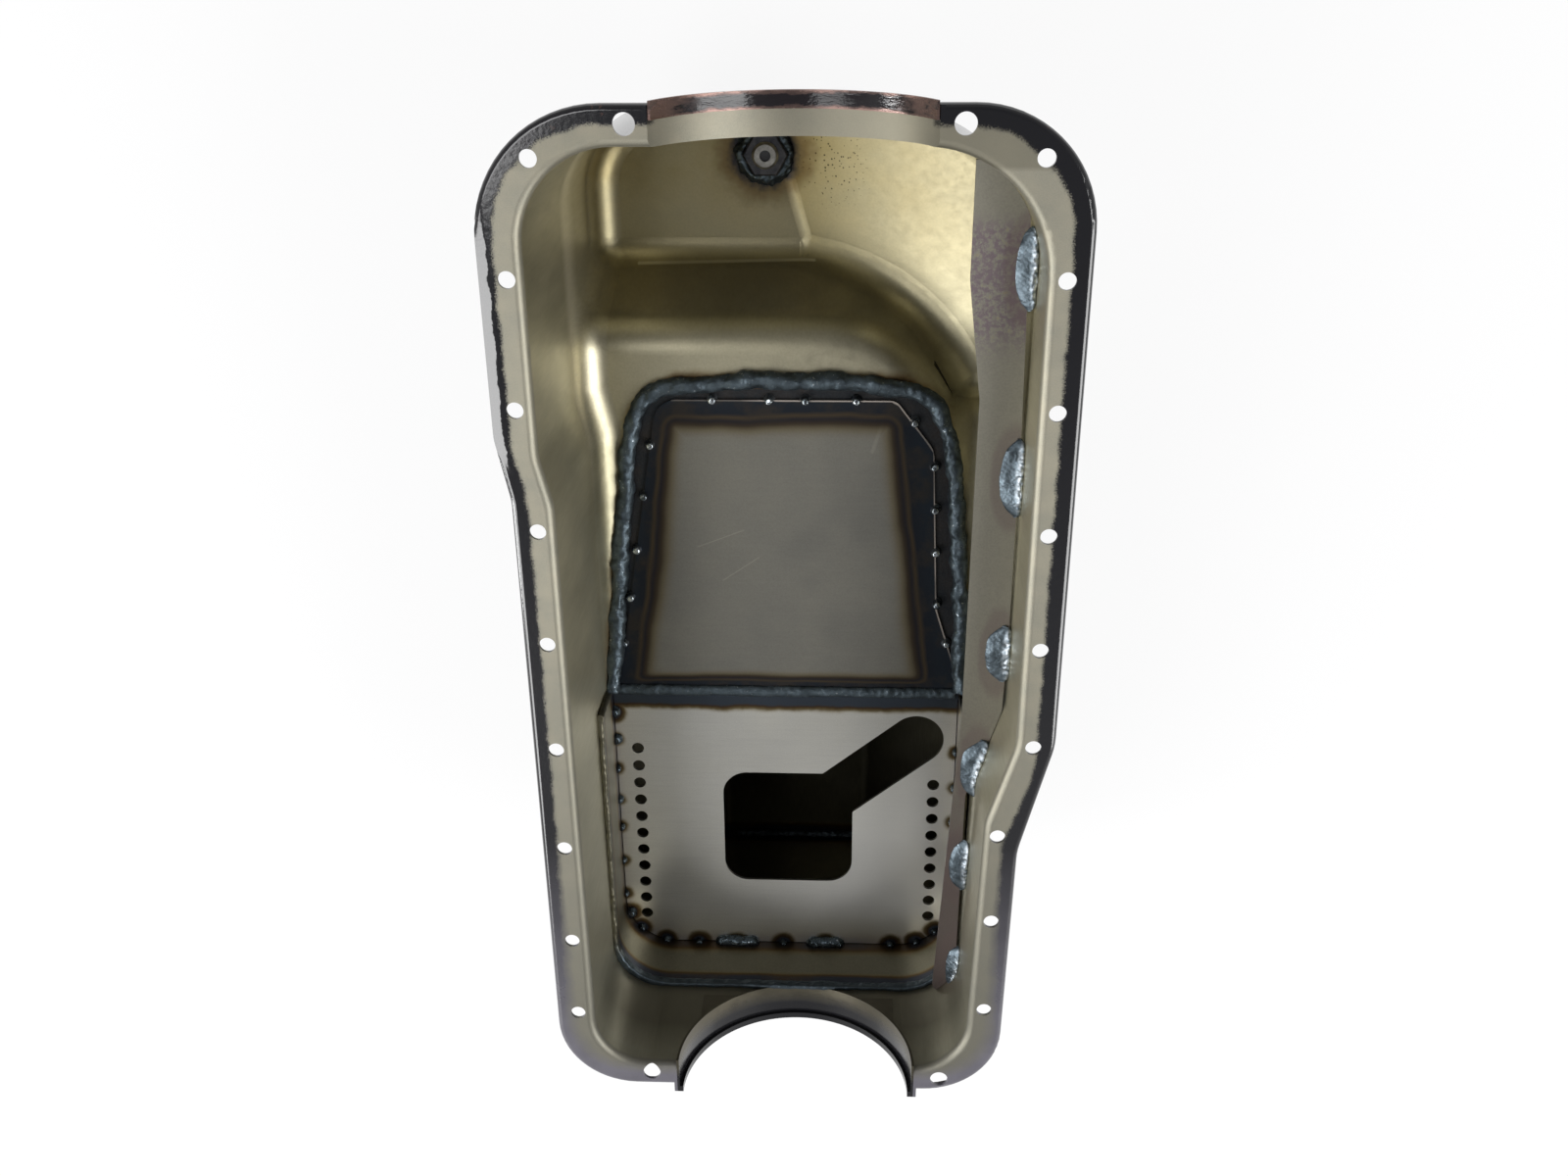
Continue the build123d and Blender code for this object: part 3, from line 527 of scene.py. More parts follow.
def makeBoxMaterial(name, seed):
    material, tree = startMaterial(name)
    place = objectSpace(tree)
    y, z = splitAxes(tree, place)[1:]
    inner = insideOf(tree, place, -0.008, -0.220, 0.020, -0.050)
    cloud = noiseNode(tree, vectorNode(tree, "ADD", place, (seed, 0.0, 0.0)), 26, 4, 0.6)
    grain = noiseNode(tree, stretched(tree, place, (1.0, 0.1, 1.0)), 1200, 2, 0.6)
    steel = mixColour(tree, spread(tree, cloud, 0.35, 0.65), boxLook["inside"], boxLook["insidePale"])
    steel = mixColour(tree, spread(tree, grain, 0.3, 0.7, 0.0, 0.25), steel, boxLook["insideDark"])
    # heat bands at the welds of the box: skirt edge, deck level and floor edges
    upper = product(tree, heatBand(tree, z, boxHeat["skirtZ"], 0.008, 0.002), 0.9)
    deck = product(tree, heatBand(tree, z, boxHeat["deckZ"], 0.012, 0.003), 0.75)
    foot = product(tree, heatBand(tree, y, boxHeat["footY"], 0.009, 0.002), spread(tree, z, -0.190, -0.196))
    bands = mathNode(tree, "MAXIMUM", mathNode(tree, "MAXIMUM", upper, deck), foot)
    bands = product(tree, bands, spread(tree, cloud, 0.3, 0.6, 0.6, 1.0))
    tint = rampNode(
        tree,
        bands,
        [
            (0.0, boxLook["heatGold"]),
            (0.45, boxLook["heatBrown"]),
            (0.8, boxLook["heatBlue"]),
            (1.0, boxLook["heatSlate"]),
        ],
    )
    steel = mixColour(tree, spread(tree, bands, 0.0, 0.35), steel, tint)
    colour = mixColour(tree, inner, boxLook["paint"], steel)
    roughness = mixValue(tree, inner, 0.13, spread(tree, cloud, 0.3, 0.7, 0.32, 0.45))
    orange = noiseNode(tree, place, 420, 2, 0.5)
    normal = bumpNode(tree, mixValue(tree, inner, orange, grain), 0.12, 0.0003)
    surface(tree, colour, inner, roughness, normal)
    return material


for number, name in enumerate(("sump_wall_band", "sump_bottom", "sump_front", "skirt_weld")):
    dress(name, makeBoxMaterial("boxSheet" + str(number), 0.37 * number))

# ---- deck plates ----
deckLook = {
    "front": (0.170, 0.167, 0.150),
    "frontWarm": (0.200, 0.193, 0.165),
    "frontSpeck": (0.080, 0.080, 0.075),
    "frontDrawn": (0.300, 0.290, 0.260),
    "frontRim": (0.170, 0.150, 0.105),
    "scratch": (0.420, 0.400, 0.340),
    "soot": (0.040, 0.034, 0.028),
    "shearedEdgeHighlight": (0.460, 0.410, 0.370),
    "rear": (0.640, 0.634, 0.596),
    "rearWarm": (0.560, 0.550, 0.500),
    "rearSpeck": (0.140, 0.140, 0.130),
    "rearDrawn": (0.420, 0.410, 0.390),
    "rearPlateReflection": (0.900, 0.890, 0.850),
    "rearRim": (0.460, 0.400, 0.280),
    "blue": (0.045, 0.055, 0.070),
    "brown": (0.060, 0.036, 0.018),
    "gold": (0.150, 0.118, 0.062),
}
frontHeat = [
    (0.0, (0.020, 0.026, 0.034)),
    (0.34, (0.018, 0.021, 0.027)),
    (0.43, (0.058, 0.044, 0.028)),
    (0.52, (0.022, 0.021, 0.025)),
    (0.64, (0.034, 0.022, 0.011)),
    (0.77, (0.110, 0.083, 0.036)),
]
rearHeat = [
    (0.0, deckLook["blue"]),
    (0.22, deckLook["blue"]),
    (0.40, deckLook["brown"]),
    (0.62, deckLook["gold"]),
]
frontPlateMarks = {
    # start, end, width and strength of each scratch, the third a painted highlight along a fold, then the
    # corners of the sheared edge, in millimetres
    "lines": [
        ((-50.1, -20.3), (-27.1, -11.1), 0.4, 0.22),
        ((-37.9, -38.3), (-20.1, -25.8), 0.4, 0.22),
        # painted highlight along a fold near the plate's right front corner
        ((41.5, 50.1), (35.0, 30.0), 1.2, 0.16),
    ],
    "rim": [(-60, 55.5), (44, 55.5), (47.5, 53.5), (61, 35.6), (64.8, 30), (68.5, -53), (80.6, -92)],
}


def makeFrontPlateMaterial():
    material, tree = startMaterial("frontPlateSteel")
    place = objectSpace(tree)
    x, y = splitAxes(tree, place)[:2]
    cloud = noiseNode(tree, place, 18, 4, 0.6)
    fine = noiseNode(tree, place, 1400, 2, 0.7)
    drawn = noiseNode(tree, stretched(tree, place, (0.08, 1.0, 1.0)), 700, 3, 0.6)
    plain = mixColour(tree, spread(tree, cloud, 0.3, 0.7), deckLook["front"], deckLook["frontWarm"])
    plain = mixColour(tree, spread(tree, fine, 0.35, 0.7, 0.0, 0.22), plain, deckLook["frontSpeck"])
    plain = mixColour(tree, spread(tree, drawn, 0.45, 0.75, 0.0, 0.07), plain, deckLook["frontDrawn"])
    # scratches, and one painted highlight along a fold
    for start, end, wide, share in frontPlateMarks["lines"]:
        gap = segmentGap(tree, x, y, start, end)
        scratch = spread(tree, gap, wide * mm, 0.4 * wide * mm, 0.0, share)
        plain = mixColour(tree, scratch, plain, deckLook["scratch"])
    shiftedX = mathNode(tree, "ADD", x, 0.0035)
    shiftedY = mathNode(tree, "SUBTRACT", y, 0.0010)
    inward = mathNode(tree, "MULTIPLY_ADD", beadDistance(tree, shiftedX, shiftedY), -1.0, -0.0045)
    seam = product(tree, mathNode(tree, "SUBTRACT", y, opening["seamY"]), 1.9)
    edge = mathNode(tree, "SMOOTH_MIN", inward, seam, 0.008)
    wave = noiseNode(tree, place, 24, 2, 0.5)
    edge = wavered(tree, edge, wave, 0.007)
    near = spread(tree, edge, 0.003, 0.024)
    tint = rampNode(tree, near, frontHeat + [(1.0, deckLook["frontRim"])])
    colour = mixColour(tree, spread(tree, edge, 0.026, 0.014, smooth=True), plain, tint)
    soot = noiseNode(tree, place, 55, 5, 0.65)
    sooty = product(tree, spread(tree, near, 0.60, 0.35), spread(tree, soot, 0.46, 0.62, 0.0, 0.7))
    colour = mixColour(tree, sooty, colour, deckLook["soot"])
    # a light line along the sheared edge: bare burr, with painted highlight of the edge face
    rim = None
    corners = frontPlateMarks["rim"]
    for start, end in zip(corners, corners[1:]):
        gap = segmentGap(tree, x, y, start, end)
        rim = gap if rim is None else mathNode(tree, "MINIMUM", rim, gap)
    rim = product(tree, spread(tree, rim, 0.0009, 0.0004), spread(tree, wave, 0.40, 0.52, 0.25, 0.9))
    colour = mixColour(tree, rim, colour, deckLook["shearedEdgeHighlight"])
    roughness = spread(tree, cloud, 0.3, 0.7, 0.42, 0.52)
    normal = bumpNode(tree, mathNode(tree, "ADD", fine, drawn), 0.06, 0.0002)
    surface(tree, colour, 0.92, roughness, normal)
    return material


rearStains = {
    # tacks of the rear plate in millimetres: (x of the row, its y values), then those round the rear edge
    "left": (-97.0, (-114.5, -131.0, -149.0, -168.4, -186.0, -208.0, -230.0)),
    "right": (81.6, (-136.0, -158.0, -180.0)),
    "edge": [
        (-94.8, -243.0),
        (-89.0, -253.2),
        (-75.1, -261.2),
        (-56.9, -262.0),
        (-35.3, -262.0),
        (-9.4, -262.0),
        (13.8, -262.0),
        (50.0, -262.0),
        (64.6, -259.6),
        (75.0, -252.0),
    ],
    "smallFrom": -240.0,
    "smallTo": -125.0,
    "level": -94.0,
}


def makeRearPlateMaterial():
    material, tree = startMaterial("rearPlateSteel")
    place = objectSpace(tree)
    x, y = splitAxes(tree, place)[:2]
    cloud = noiseNode(tree, place, 14, 4, 0.6)
    fine = noiseNode(tree, place, 1500, 2, 0.7)
    drawn = noiseNode(tree, stretched(tree, place, (0.05, 1.0, 1.0)), 900, 3, 0.6)
    plain = mixColour(tree, spread(tree, cloud, 0.3, 0.7), deckLook["rear"], deckLook["rearWarm"])
    plain = mixColour(tree, spread(tree, fine, 0.35, 0.7, 0.0, 0.15), plain, deckLook["rearSpeck"])
    plain = mixColour(tree, spread(tree, drawn, 0.45, 0.8, 0.0, 0.25), plain, deckLook["rearDrawn"])
    # painted reflection: a light patch over the right middle of the rear plate
    paintedShine = product(tree, spread(tree, x, -0.02, 0.06), spread(tree, y, -0.12, -0.19), 0.8)
    plain = mixColour(tree, paintedShine, plain, deckLook["rearPlateReflection"])
    points = list(rearStains["edge"])
    for rowX, rowYs in (rearStains["left"], rearStains["right"]):
        points += [(rowX, rowY) for rowY in rowYs]
    nearest = mathNode(tree, "SUBTRACT", opening["seamY"] - 0.0045, y)
    for px, py in points:
        gap = vectorNode(tree, "DISTANCE", place, (px * mm, py * mm, rearStains["level"] * mm))
        if rearStains["smallFrom"] < py < rearStains["smallTo"]:
            gap = mathNode(tree, "ADD", gap, 0.0025)
        nearest = mathNode(tree, "MINIMUM", nearest, gap)
    wave = noiseNode(tree, place, 70, 3, 0.6)
    nearest = wavered(tree, nearest, wave, 0.004)
    near = spread(tree, nearest, 0.0015, 0.0085)
    tint = rampNode(tree, near, rearHeat + [(1.0, deckLook["rearRim"])])
    colour = mixColour(tree, spread(tree, nearest, 0.0085, 0.0055, smooth=True), plain, tint)
    roughness = spread(tree, cloud, 0.3, 0.7, 0.33, 0.43)
    normal = bumpNode(tree, mathNode(tree, "ADD", fine, drawn), 0.10, 0.0002)
    surface(tree, colour, 0.95, roughness, normal)
    return material


print("materials: deck")
dress("front_baffle_plate", makeFrontPlateMaterial())
dress("rear_baffle_plate", makeRearPlateMaterial())


ledgeLook = {
    "blue": (0.020, 0.025, 0.031),
    "brown": (0.034, 0.029, 0.026),
    "speck": (0.050, 0.055, 0.060),
}


def makeLedgeMaterial():
    material, tree = startMaterial("ledgeSteel")
    place = objectSpace(tree)
    cloud = noiseNode(tree, place, 70, 4, 0.6)
    fine = noiseNode(tree, place, 900, 2, 0.7)
    colour = mixColour(tree, spread(tree, cloud, 0.35, 0.65), ledgeLook["blue"], ledgeLook["brown"])
    colour = mixColour(tree, spread(tree, fine, 0.4, 0.7, 0.0, 0.4), colour, ledgeLook["speck"])
    roughness = spread(tree, cloud, 0.3, 0.7, 0.35, 0.5)
    surface(tree, colour, 0.8, roughness, bumpNode(tree, fine, 0.2, 0.0003))
    return material


dress("baffle_ledge", makeLedgeMaterial())

# ---- crank scraper ----
scraperLook = {
    "plain": (0.250, 0.240, 0.200),
    "plainDark": (0.200, 0.190, 0.155),
    "grain": (0.110, 0.100, 0.090),
    "plum": (0.180, 0.142, 0.158),
    "speck": (0.300, 0.255, 0.140),
    "tail": (0.135, 0.108, 0.104),
    "edge": (0.150, 0.112, 0.110),
}


scraperPads = {
    # middle of each pad: x, y and its length along the wall, in millimetres
    "pads": [
        (95.5, 133.0, 36.0),
        (95.5, 40.0, 38.0),
        (94.5, -49.0, 31.0),
        (87.5, -114.0, 34.0),
        (82.0, -173.0, 32.0),
        (82.0, -240.0, 27.0),
    ],
    "scraperTop": 28.4,
    "scraperSlope": 0.055,
    "slopeFrom": 150.0,
    "rippleStep": 2.3,
    "rippleHeight": 0.035,
    "ridgeHeight": 0.9,
    "lumpHeight": 0.25,
}


def makeScraperMaterial():
    material, tree = startMaterial("scraperSteel")
    place = objectSpace(tree)
    y = splitAxes(tree, place)[1]
    cloud = noiseNode(tree, place, 45, 5, 0.7)
    fine = noiseNode(tree, place, 1000, 2, 0.7)
    blots = noiseNode(tree, place, 380, 5, 0.75)
    patchy = spread(tree, cloud, 0.35, 0.7, 0.0, 0.4)
    colour = mixColour(tree, patchy, scraperLook["plain"], scraperLook["plainDark"])
    windowRear = spread(tree, y, 0.090, 0.112, smooth=True)
    window = product(tree, windowRear, spread(tree, y, 0.158, 0.146, smooth=True))
    blotted = product(tree, window, spread(tree, blots, 0.44, 0.54))
    colour = mixColour(tree, blotted, colour, scraperLook["plum"])
    specks = product(tree, window, spread(tree, blots, 0.40, 0.34, 0.0, 0.7))
    colour = mixColour(tree, specks, colour, scraperLook["speck"])
    tail = wavered(tree, y, cloud, 0.12)
    colour = mixColour(tree, spread(tree, tail, -0.07, -0.17, 0.0, 0.9), colour, scraperLook["tail"])
    colour = mixColour(tree, spread(tree, fine, 0.4, 0.7, 0.0, 0.22), colour, scraperLook["grain"])
    nearest = 1.0
    for padX, padY, _ in scraperPads["pads"]:
        padZ = -30.0 + scraperPads["scraperSlope"] * (padY - scraperPads["slopeFrom"])
        offset = vectorNode(tree, "SUBTRACT", place, (padX * mm, padY * mm, padZ * mm))
        gap = vectorNode(tree, "LENGTH", vectorNode(tree, "MULTIPLY", offset, (1.6, 0.62, 1.0)))
        nearest = mathNode(tree, "MINIMUM", nearest, gap)
    nearest = wavered(tree, nearest, cloud, 0.008)
    rust = spread(tree, nearest, 0.0175, 0.0135, 0.0, 0.45, smooth=True)
    colour = mixColour(tree, rust, colour, scraperLook["edge"])
    roughness = spread(tree, cloud, 0.3, 0.7, 0.48, 0.62)
    surface(tree, colour, 0.75, roughness, bumpNode(tree, fine, 0.15, 0.0002))
    return material


print("materials: scraper")
dress("crank_scraper", makeScraperMaterial())

# ---- seal retainers ----
retainerLook = {
    "strip": (0.014, 0.012, 0.014),
    "stripRim": (0.230, 0.150, 0.130),
    "steel": (0.100, 0.090, 0.066),
    "steelPale": (0.150, 0.136, 0.100),
    "grain": (0.100, 0.095, 0.080),
    "paint": (0.011, 0.011, 0.013),
}


def makeFrontStripMaterial():
    material, tree = startMaterial("frontStrip")
    place = objectSpace(tree)
    x, y = splitAxes(tree, place)[:2]
    cloud = noiseNode(tree, stretched(tree, place, (1.0, 2.5, 1.0)), 70, 5, 0.7)
    rims = mathNode(tree, "ABSOLUTE", mathNode(tree, "SUBTRACT", y, 0.1991))
    rims = spread(tree, wavered(tree, rims, cloud, 0.006), 0.0020, 0.0036)
    fromMiddle = mathNode(tree, "ABSOLUTE", mathNode(tree, "SUBTRACT", x, 0.0015))
    tips = product(tree, spread(tree, fromMiddle, 0.036, 0.050), spread(tree, cloud, 0.40, 0.55))
    rims = mathNode(tree, "MAXIMUM", rims, product(tree, tips, 0.8))
    colour = mixColour(tree, rims, retainerLook["strip"], retainerLook["stripRim"])
    roughness = mixValue(tree, rims, 0.10, 0.34)
    surface(tree, colour, rims, roughness, bumpNode(tree, cloud, 0.35, 0.0008))
    return material


def makeRearRetainerMaterial():
    material, tree = startMaterial("rearRetainer")
    place = objectSpace(tree)
    y = splitAxes(tree, place)[1]
    cloud = noiseNode(tree, place, 35, 4, 0.6)
    grain = noiseNode(tree, stretched(tree, place, (0.1, 1.0, 1.0)), 900, 2, 0.6)
    patchy = spread(tree, cloud, 0.35, 0.65)
    colour = mixColour(tree, patchy, retainerLook["steel"], retainerLook["steelPale"])
    colour = mixColour(tree, spread(tree, grain, 0.3, 0.7, 0.0, 0.2), colour, retainerLook["grain"])
    paint = spread(tree, mathNode(tree, "MULTIPLY_ADD", cloud, 0.003, y), -0.2650, -0.2725)
    colour = mixColour(tree, paint, colour, retainerLook["paint"])
    roughness = mixValue(tree, paint, spread(tree, cloud, 0.3, 0.7, 0.30, 0.42), 0.15)
    metal = mathNode(tree, "SUBTRACT", 1.0, paint)
    surface(tree, colour, metal, roughness, bumpNode(tree, grain, 0.1, 0.0002))
    return material


dress("front_seal_retainer", makeFrontStripMaterial())
dress("rear_seal_retainer", makeRearRetainerMaterial())

# ---- drain pieces ----
drainLook = {
    # dark and pale colour, metal share, roughness
    "bung": ((0.026, 0.028, 0.034), (0.060, 0.058, 0.060), 0.80, 0.42),
    "plug": ((0.200, 0.195, 0.180), (0.330, 0.320, 0.300), 0.95, 0.35),
    "magnet": ((0.020, 0.020, 0.022), (0.045, 0.045, 0.050), 0.60, 0.50),
    "washer": ((0.420, 0.190, 0.090), (0.560, 0.280, 0.150), 0.95, 0.32),
}


def makeDrainMaterial(name):
    dark, pale, metal, rough = drainLook[name]
    material, tree = startMaterial(name + "Metal")
    place = objectSpace(tree)
    cloud = noiseNode(tree, place, 220, 4, 0.65)
    fine = noiseNode(tree, place, 2200, 2, 0.6)
    colour = mixColour(tree, spread(tree, cloud, 0.35, 0.65), dark, pale)
    halfDark = tuple(channel * 0.5 for channel in dark)
    colour = mixColour(tree, spread(tree, fine, 0.45, 0.7, 0.0, 0.3), colour, halfDark)
    roughness = spread(tree, cloud, 0.3, 0.7, rough - 0.08, rough + 0.08)
    surface(tree, colour, metal, roughness, bumpNode(tree, fine, 0.2, 0.0002))
    return material


for kind, names in (
    ("bung", ("front_drain_bung", "rear_drain_bung")),
    ("plug", ("front_drain_plug", "rear_drain_plug")),
    ("magnet", ("front_plug_magnet", "rear_plug_magnet")),
    ("washer", ("front_plug_washer", "rear_plug_washer")),
):
    drainMaterial = makeDrainMaterial(kind)
    for name in names:
        dress(name, drainMaterial)

# ---- weld metal ----
weldLook = {
    "dark": (0.048, 0.062, 0.073),
    "slate": (0.105, 0.135, 0.157),
    "glint": (0.600, 0.650, 0.690),
    "soot": (0.022, 0.020, 0.020),
    "wall": (0.120, 0.112, 0.080),
    "pale": (0.150, 0.190, 0.220),
}


def makeWeldMaterial(name, slateShare, glintShare, roughLow, plainFrom=None, slate="slate"):
    material, tree = startMaterial(name)
    place = objectSpace(tree)
    cloud = noiseNode(tree, place, 130, 4, 0.6)
    lumps = noiseNode(tree, place, 330, 3, 0.5, 0.4)
    fine = noiseNode(tree, place, 2400, 2, 0.6)
    # the pads' ridge attribute carries a painted glint along each ridge
    ridge = tree.nodes.new("ShaderNodeAttribute")
    ridge.attribute_name = "ridge"
    slateCloud = spread(tree, cloud, 0.35, 0.70, 0.0, slateShare)
    colour = mixColour(tree, slateCloud, weldLook["dark"], weldLook[slate])
    # painted glints: light spots in the colour, where roughness also drops
    glints = noiseNode(tree, place, 760, 3, 0.6)
    glints = product(tree, spread(tree, glints, 0.64, 0.72), spread(tree, cloud, 0.45, 0.60, 0.25, 1.0))
    paintedShine = mathNode(tree, "MAXIMUM", product(tree, glints, glintShare), ridge.outputs["Fac"])
    colour = mixColour(tree, paintedShine, colour, weldLook["glint"])
    colour = mixColour(tree, spread(tree, fine, 0.55, 0.75, 0.0, 0.4), colour, weldLook["soot"])
    if plainFrom is not None:
        y = splitAxes(tree, place)[1]
        colour = mixColour(tree, spread(tree, y, plainFrom, plainFrom + 0.015), colour, weldLook["wall"])
    roughness = spread(tree, lumps, 0.35, 0.7, roughLow + 0.14, roughLow)
    roughness = mixValue(tree, glints, roughness, 0.16)
    normal = bumpNode(tree, lumps, 0.45, 0.0010)
    normal = bumpNode(tree, fine, 0.08, 0.0002, normal)
    surface(tree, colour, 0.9, roughness, normal)
    return material


beadMetal = makeWeldMaterial("beadMetal", 0.9, 0.8, 0.42)
padMetal = makeWeldMaterial("padMetal", 1.0, 0.4, 0.32, slate="pale")
# front tacks take the glint colour for their whole body: painted highlight
tackMetal = makeWeldMaterial("tackMetal", 1.0, 1.0, 0.10, slate="glint")
slateTackMetal = makeWeldMaterial("slateTackMetal", 0.9, 1.0, 0.20)
hazeMetal = makeWeldMaterial("hazeMetal", 0.5, 0.05, 0.34, plainFrom=-0.246)
sootMetal = makeWeldMaterial("sootMetal", 0.15, 0.12, 0.36)


def voxelMesh(node, voxel):
    # a fine even skin over a copy of the solid
    shape = bmesh.new()
    shape.from_mesh(nodeObjects[node].data)
    bmesh.ops.remove_doubles(shape, verts=shape.verts, dist=1e-6)
    mesh = bpy.data.meshes.new(node + "Skin")
    shape.to_mesh(mesh)
    shape.free()
    piece = bpy.data.objects.new(node + "Skin", mesh)
    bpy.context.scene.collection.objects.link(piece)
    remesh = piece.modifiers.new("grain", "REMESH")
    remesh.mode = "VOXEL"
    remesh.voxel_size = voxel * mm
    bpy.context.view_layer.update()
    finished = bpy.data.meshes.new_from_object(piece.evaluated_get(bpy.context.evaluated_depsgraph_get()))
    bpy.data.objects.remove(piece)
    shape = bmesh.new()
    shape.from_mesh(finished)
    return shape, finished


def smoothed(shape, times):
    for _ in range(times):
        bmesh.ops.smooth_vert(
            shape, verts=shape.verts, factor=0.5, use_axis_x=True, use_axis_y=True, use_axis_z=True
        )


def finishWeld(shape, mesh, node, name, material):
    shape.to_mesh(mesh)
    shape.free()
    for face in mesh.polygons:
        face.use_smooth = True
    mesh.materials.clear()
    mesh.materials.append(material)
    piece = bpy.data.objects.new(name, mesh)
    bpy.context.scene.collection.objects.link(piece)
    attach(piece, "root")
    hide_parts(node)


def makeBead(node, name, material, settings):
    # lumps of two sizes along a hand-run bead
    voxel, smooths, lumpHeight, lumpScale, rippleHeight, rippleScale, swell = settings
    shape, mesh = voxelMesh(node, voxel)
    smoothed(shape, smooths)
    shape.normal_update()
    moves = []
    for vert in shape.verts:
        lump = lumpHeight * noise.noise(vert.co * lumpScale)
        ripple = rippleHeight * noise.noise(vert.co * rippleScale)
        moves.append(vert.normal * mm * (lump + ripple + swell))
    for vert, move in zip(shape.verts, moves):
        vert.co += move
    finishWeld(shape, mesh, node, name, material)


beads = {
    # voxel in mm, smoothings, lump height in mm and scale, ripple height in mm and scale, swell in mm
    "shell_sump_weld": ("openingBead", beadMetal, (0.8, 3, 1.6, 95, 0.7, 330, -0.1)),
    "baffle_seam_weld": ("seamBead", beadMetal, (0.5, 2, 0.5, 110, 0.35, 380, 0.1)),
    "front_plate_tacks": ("frontTacks", tackMetal, (0.28, 3, 0.5, 300, 0.1, 700, 0.3)),
    "rear_plate_tacks": ("rearTacks", slateTackMetal, (0.30, 3, 0.6, 260, 0.3, 560, 0.2)),
    "skirt_inner_weld": ("skirtBead", hazeMetal, (0.6, 3, 0.6, 120, 0.3, 420, 0.1)),
    "sump_floor_weld": ("floorBead", sootMetal, (0.5, 2, 0.5, 200, 0.5, 600, 0.0)),
    "front_bung_weld": ("frontBungBead", sootMetal, (0.4, 2, 2.2, 150, 0.8, 460, 0.5)),
    "rear_bung_weld": ("rearBungBead", beadMetal, (0.4, 2, 0.6, 180, 0.6, 520, 0.1)),
}
print("welds")
for node, (name, metal, settings) in beads.items():
    makeBead(node, name, metal, settings)


def scraperTop(y):
    # how far the top of the scraper lies below the gasket face
    fall = scraperPads["scraperSlope"] * (scraperPads["slopeFrom"] * mm - y)
    return scraperPads["scraperTop"] * mm + fall


def makeScraperPads():
    # each pad swells from a thin inner edge to a rippled ridge along the wall
    shape, mesh = voxelMesh("scraper_welds", 0.45)
    smoothed(shape, 2)
    outer = {}
    inner = {}
    for vert in shape.verts:
        slab = round(vert.co.y / mm)
        outer[slab] = max(outer.get(slab, -1.0), vert.co.x)
        inner[slab] = min(inner.get(slab, 1.0), vert.co.x)
    ridgeLayer = shape.verts.layers.float.new("ridge")
    glintShift = Vector((3.0, 1.0, 2.0))
    for vert in shape.verts:
        x, y = vert.co.x / mm, vert.co.y / mm
        _, padY, length = min(scraperPads["pads"], key=lambda pad: abs(y - pad[1]))
        along = min(abs(y - padY) / (length / 2), 1.0)
        crown = math.sqrt(1.0 - along ** 2)
        slab = round(y)
        across = (vert.co.x - inner[slab]) / max(outer[slab] - inner[slab], mm)
        base = -scraperTop(vert.co.y)
        lift = vert.co.z - base
        lump = noise.noise(vert.co * 160)
        wave = math.sin(2 * math.pi * (y + 0.7 * x) / scraperPads["rippleStep"] + 2.5 * lump)
        rise = (0.25 + 0.75 * across) * (0.35 + 0.65 * crown)
        vert.co.x = outer[slab] - (outer[slab] - vert.co.x) * (0.15 + 0.85 * crown) * (1.0 + 0.05 * lump)
        if lift > 0:
            crest = min(1.0, max(0.0, (across - 0.66) * 5.0)) * (0.5 + noise.noise(vert.co * 520))
            bumps = scraperPads["rippleHeight"] * wave
            bumps += scraperPads["ridgeHeight"] * crest + scraperPads["lumpHeight"] * lump
            vert.co.z = base + lift * rise + mm * crown * bumps
        # painted glint along each pad's ridge, read by the weld material
        glint = 0.45 + 0.9 * noise.noise(vert.co * 700 + glintShift)
        vert[ridgeLayer] = min(1.0, max(0.0, (across - 0.60) * 4.0)) * glint * crown
    finishWeld(shape, mesh, "scraper_welds", "scraperBeads", padMetal)


makeScraperPads()

# ---- floor, lights, camera ----
print("studio")
studio = {
    "floorZ": cadBox[0][2] - 0.0002,
    "floorSize": 8.0,
    "floorColour": (0.86, 0.86, 0.87, 1.0),
    "floorGlow": 0.86,
    "skyPower": 0.70,
}
softboxes = {
    # place, target, width and height, power
    "leftBox": ((-0.93, -0.61, 1.00), (0.0, -0.02, -0.1), (0.8, 0.7), 10.5),
    "lowLeftBox": ((-1.50, -0.38, 0.38), (0.0, -0.02, -0.03), (0.55, 0.36), 14.0),
    "rightBox": ((1.15, -0.40, 0.95), (0.0, -0.02, -0.1), (1.1, 1.1), 22.0),
    "overBox": ((-0.52, 0.22, 1.15), (0.0, 0.05, -0.1), (0.5, 0.45), 2.6),
}


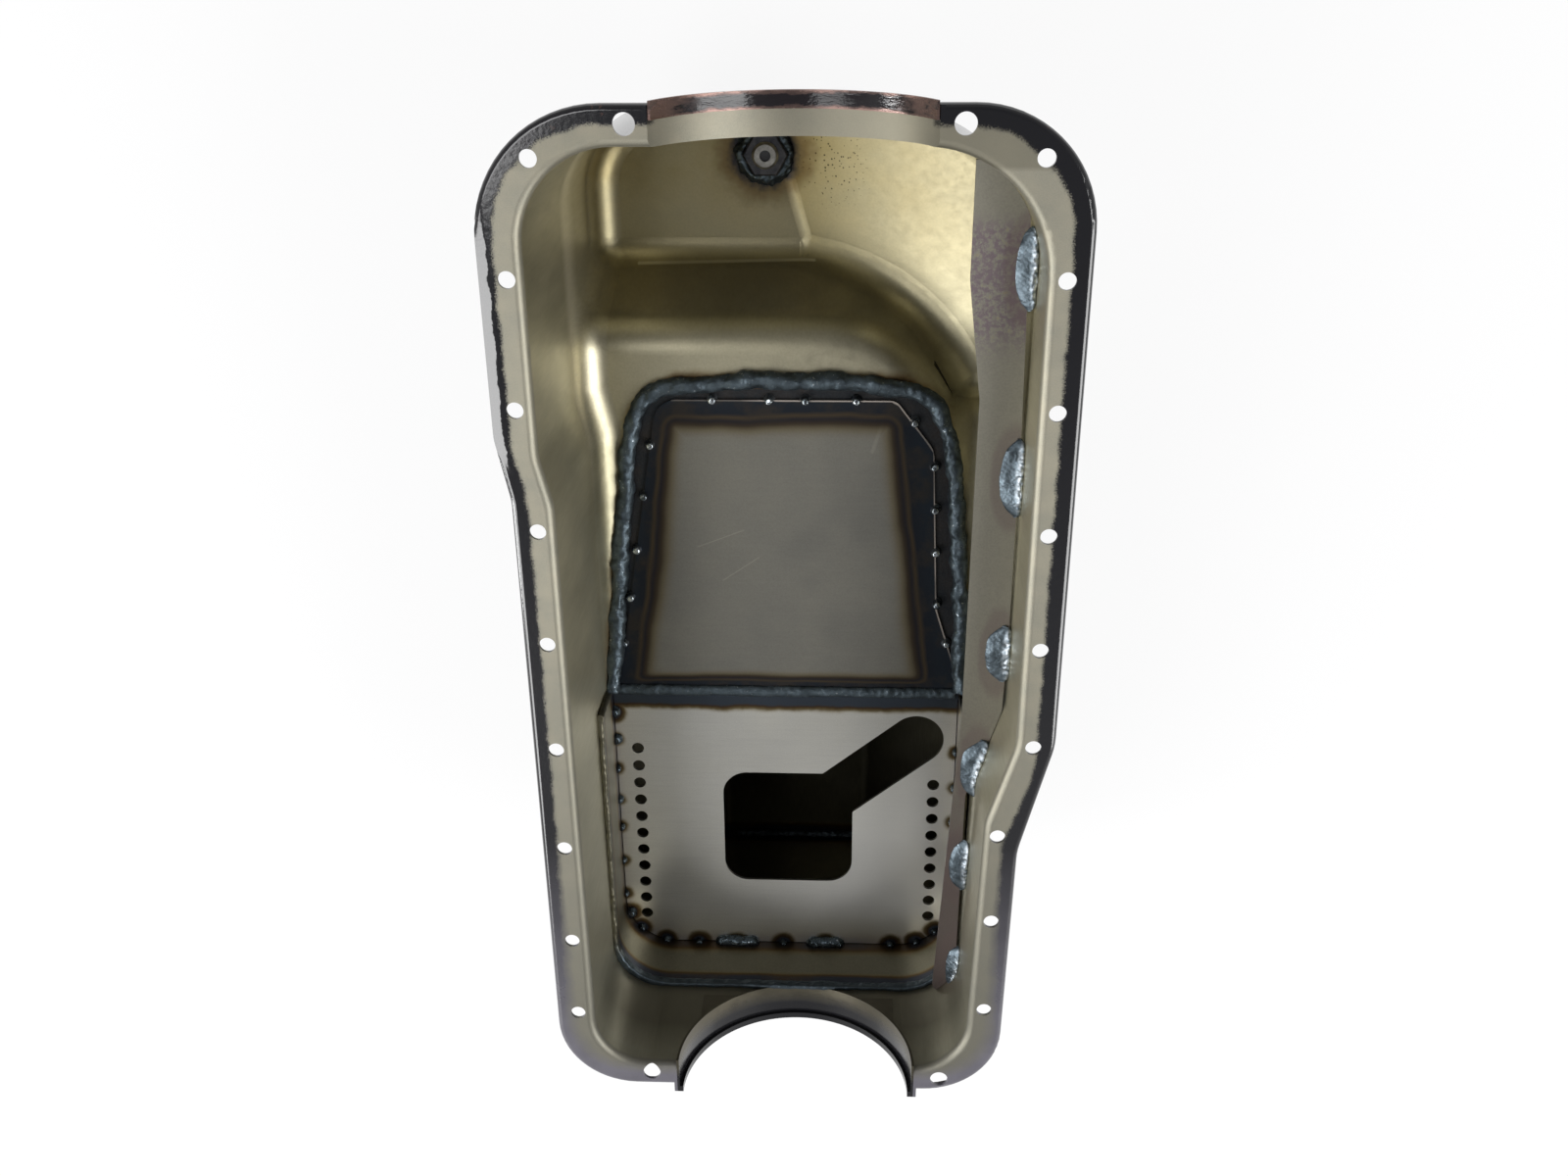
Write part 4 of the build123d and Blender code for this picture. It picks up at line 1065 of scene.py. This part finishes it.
def makeFloor():
    shape = bmesh.new()
    bmesh.ops.create_grid(shape, x_segments=1, y_segments=1, size=studio["floorSize"] / 2)
    bmesh.ops.translate(shape, verts=shape.verts, vec=(0.0, 0.0, studio["floorZ"]))
    mesh = bpy.data.meshes.new("floor")
    shape.to_mesh(mesh)
    shape.free()
    floor = bpy.data.objects.new("floor", mesh)
    bpy.context.scene.collection.objects.link(floor)
    material, tree = startMaterial("paleFloor")
    rays = tree.nodes.new("ShaderNodeLightPath")
    seen = mathNode(tree, "MAXIMUM", rays.outputs["Is Camera Ray"], rays.outputs["Is Glossy Ray"])
    seen = mathNode(tree, "MAXIMUM", seen, rays.outputs["Is Transmission Ray"])
    matte = tree.nodes.new("ShaderNodeBsdfDiffuse")
    matte.inputs["Color"].default_value = studio["floorColour"]
    glow = tree.nodes.new("ShaderNodeEmission")
    glow.inputs["Color"].default_value = (1.0, 1.0, 1.0, 1.0)
    glow.inputs["Strength"].default_value = 1.0
    blend = tree.nodes.new("ShaderNodeMixShader")
    tree.links.new(product(tree, seen, studio["floorGlow"]), blend.inputs[0])
    tree.links.new(matte.outputs[0], blend.inputs[1])
    tree.links.new(glow.outputs[0], blend.inputs[2])
    output = tree.nodes.new("ShaderNodeOutputMaterial")
    tree.links.new(blend.outputs[0], output.inputs["Surface"])
    mesh.materials.append(material)


def addSoftbox(name, place, target, size, power):
    lamp = bpy.data.lights.new(name, "AREA")
    lamp.shape = "RECTANGLE"
    lamp.size, lamp.size_y = size
    lamp.energy = power
    holder = bpy.data.objects.new(name, lamp)
    holder.location = place
    holder.rotation_euler = (Vector(target) - Vector(place)).to_track_quat("-Z", "Y").to_euler()
    bpy.context.scene.collection.objects.link(holder)


makeFloor()
for name, (place, target, size, power) in softboxes.items():
    addSoftbox(name, place, target, size, power)

world = bpy.data.worlds.new("studioWorld")
bpy.context.scene.world = world
world.use_nodes = True
worldTree = world.node_tree
worldTree.nodes.clear()
skyPlace = worldTree.nodes.new("ShaderNodeTexCoord").outputs["Generated"]
skyY, skyZ = splitAxes(worldTree, skyPlace)[1:]
skyShade = rampNode(worldTree, skyZ, [(0.0, 0.80), (0.45, 0.70), (0.75, 0.42), (1.0, 0.16)], smooth=True)
skyRear = spread(worldTree, skyY, 0.5, -0.7, 0.55, 1.25)
skyLight = worldTree.nodes.new("ShaderNodeBackground")
wire(worldTree, skyLight.inputs["Color"], skyShade)
wire(worldTree, skyLight.inputs["Strength"], mathNode(worldTree, "MULTIPLY", skyRear, studio["skyPower"]))
skyOutput = worldTree.nodes.new("ShaderNodeOutputWorld")
worldTree.links.new(skyLight.outputs[0], skyOutput.inputs["Surface"])

view = {
    "place": (0.02303, 0.27534, 0.58046),
    "right": (0.99909, -0.00765, -0.04184),
    "up": (-0.01089, 0.90487, -0.42554),
    "back": (0.04112, 0.42561, 0.90397),
    "lens": 34.34,
}
lens = bpy.data.cameras.new("camera")
lens.lens = view["lens"]
lens.sensor_width = 36.0
lens.clip_start = 0.01
camera = bpy.data.objects.new("camera", lens)
turn = Matrix((view["right"], view["up"], view["back"])).transposed().to_4x4()
camera.matrix_world = Matrix.Translation(view["place"]) @ turn
bpy.context.scene.collection.objects.link(camera)
bpy.context.scene.camera = camera
bpy.context.scene.view_settings.view_transform = "Standard"

print("done")
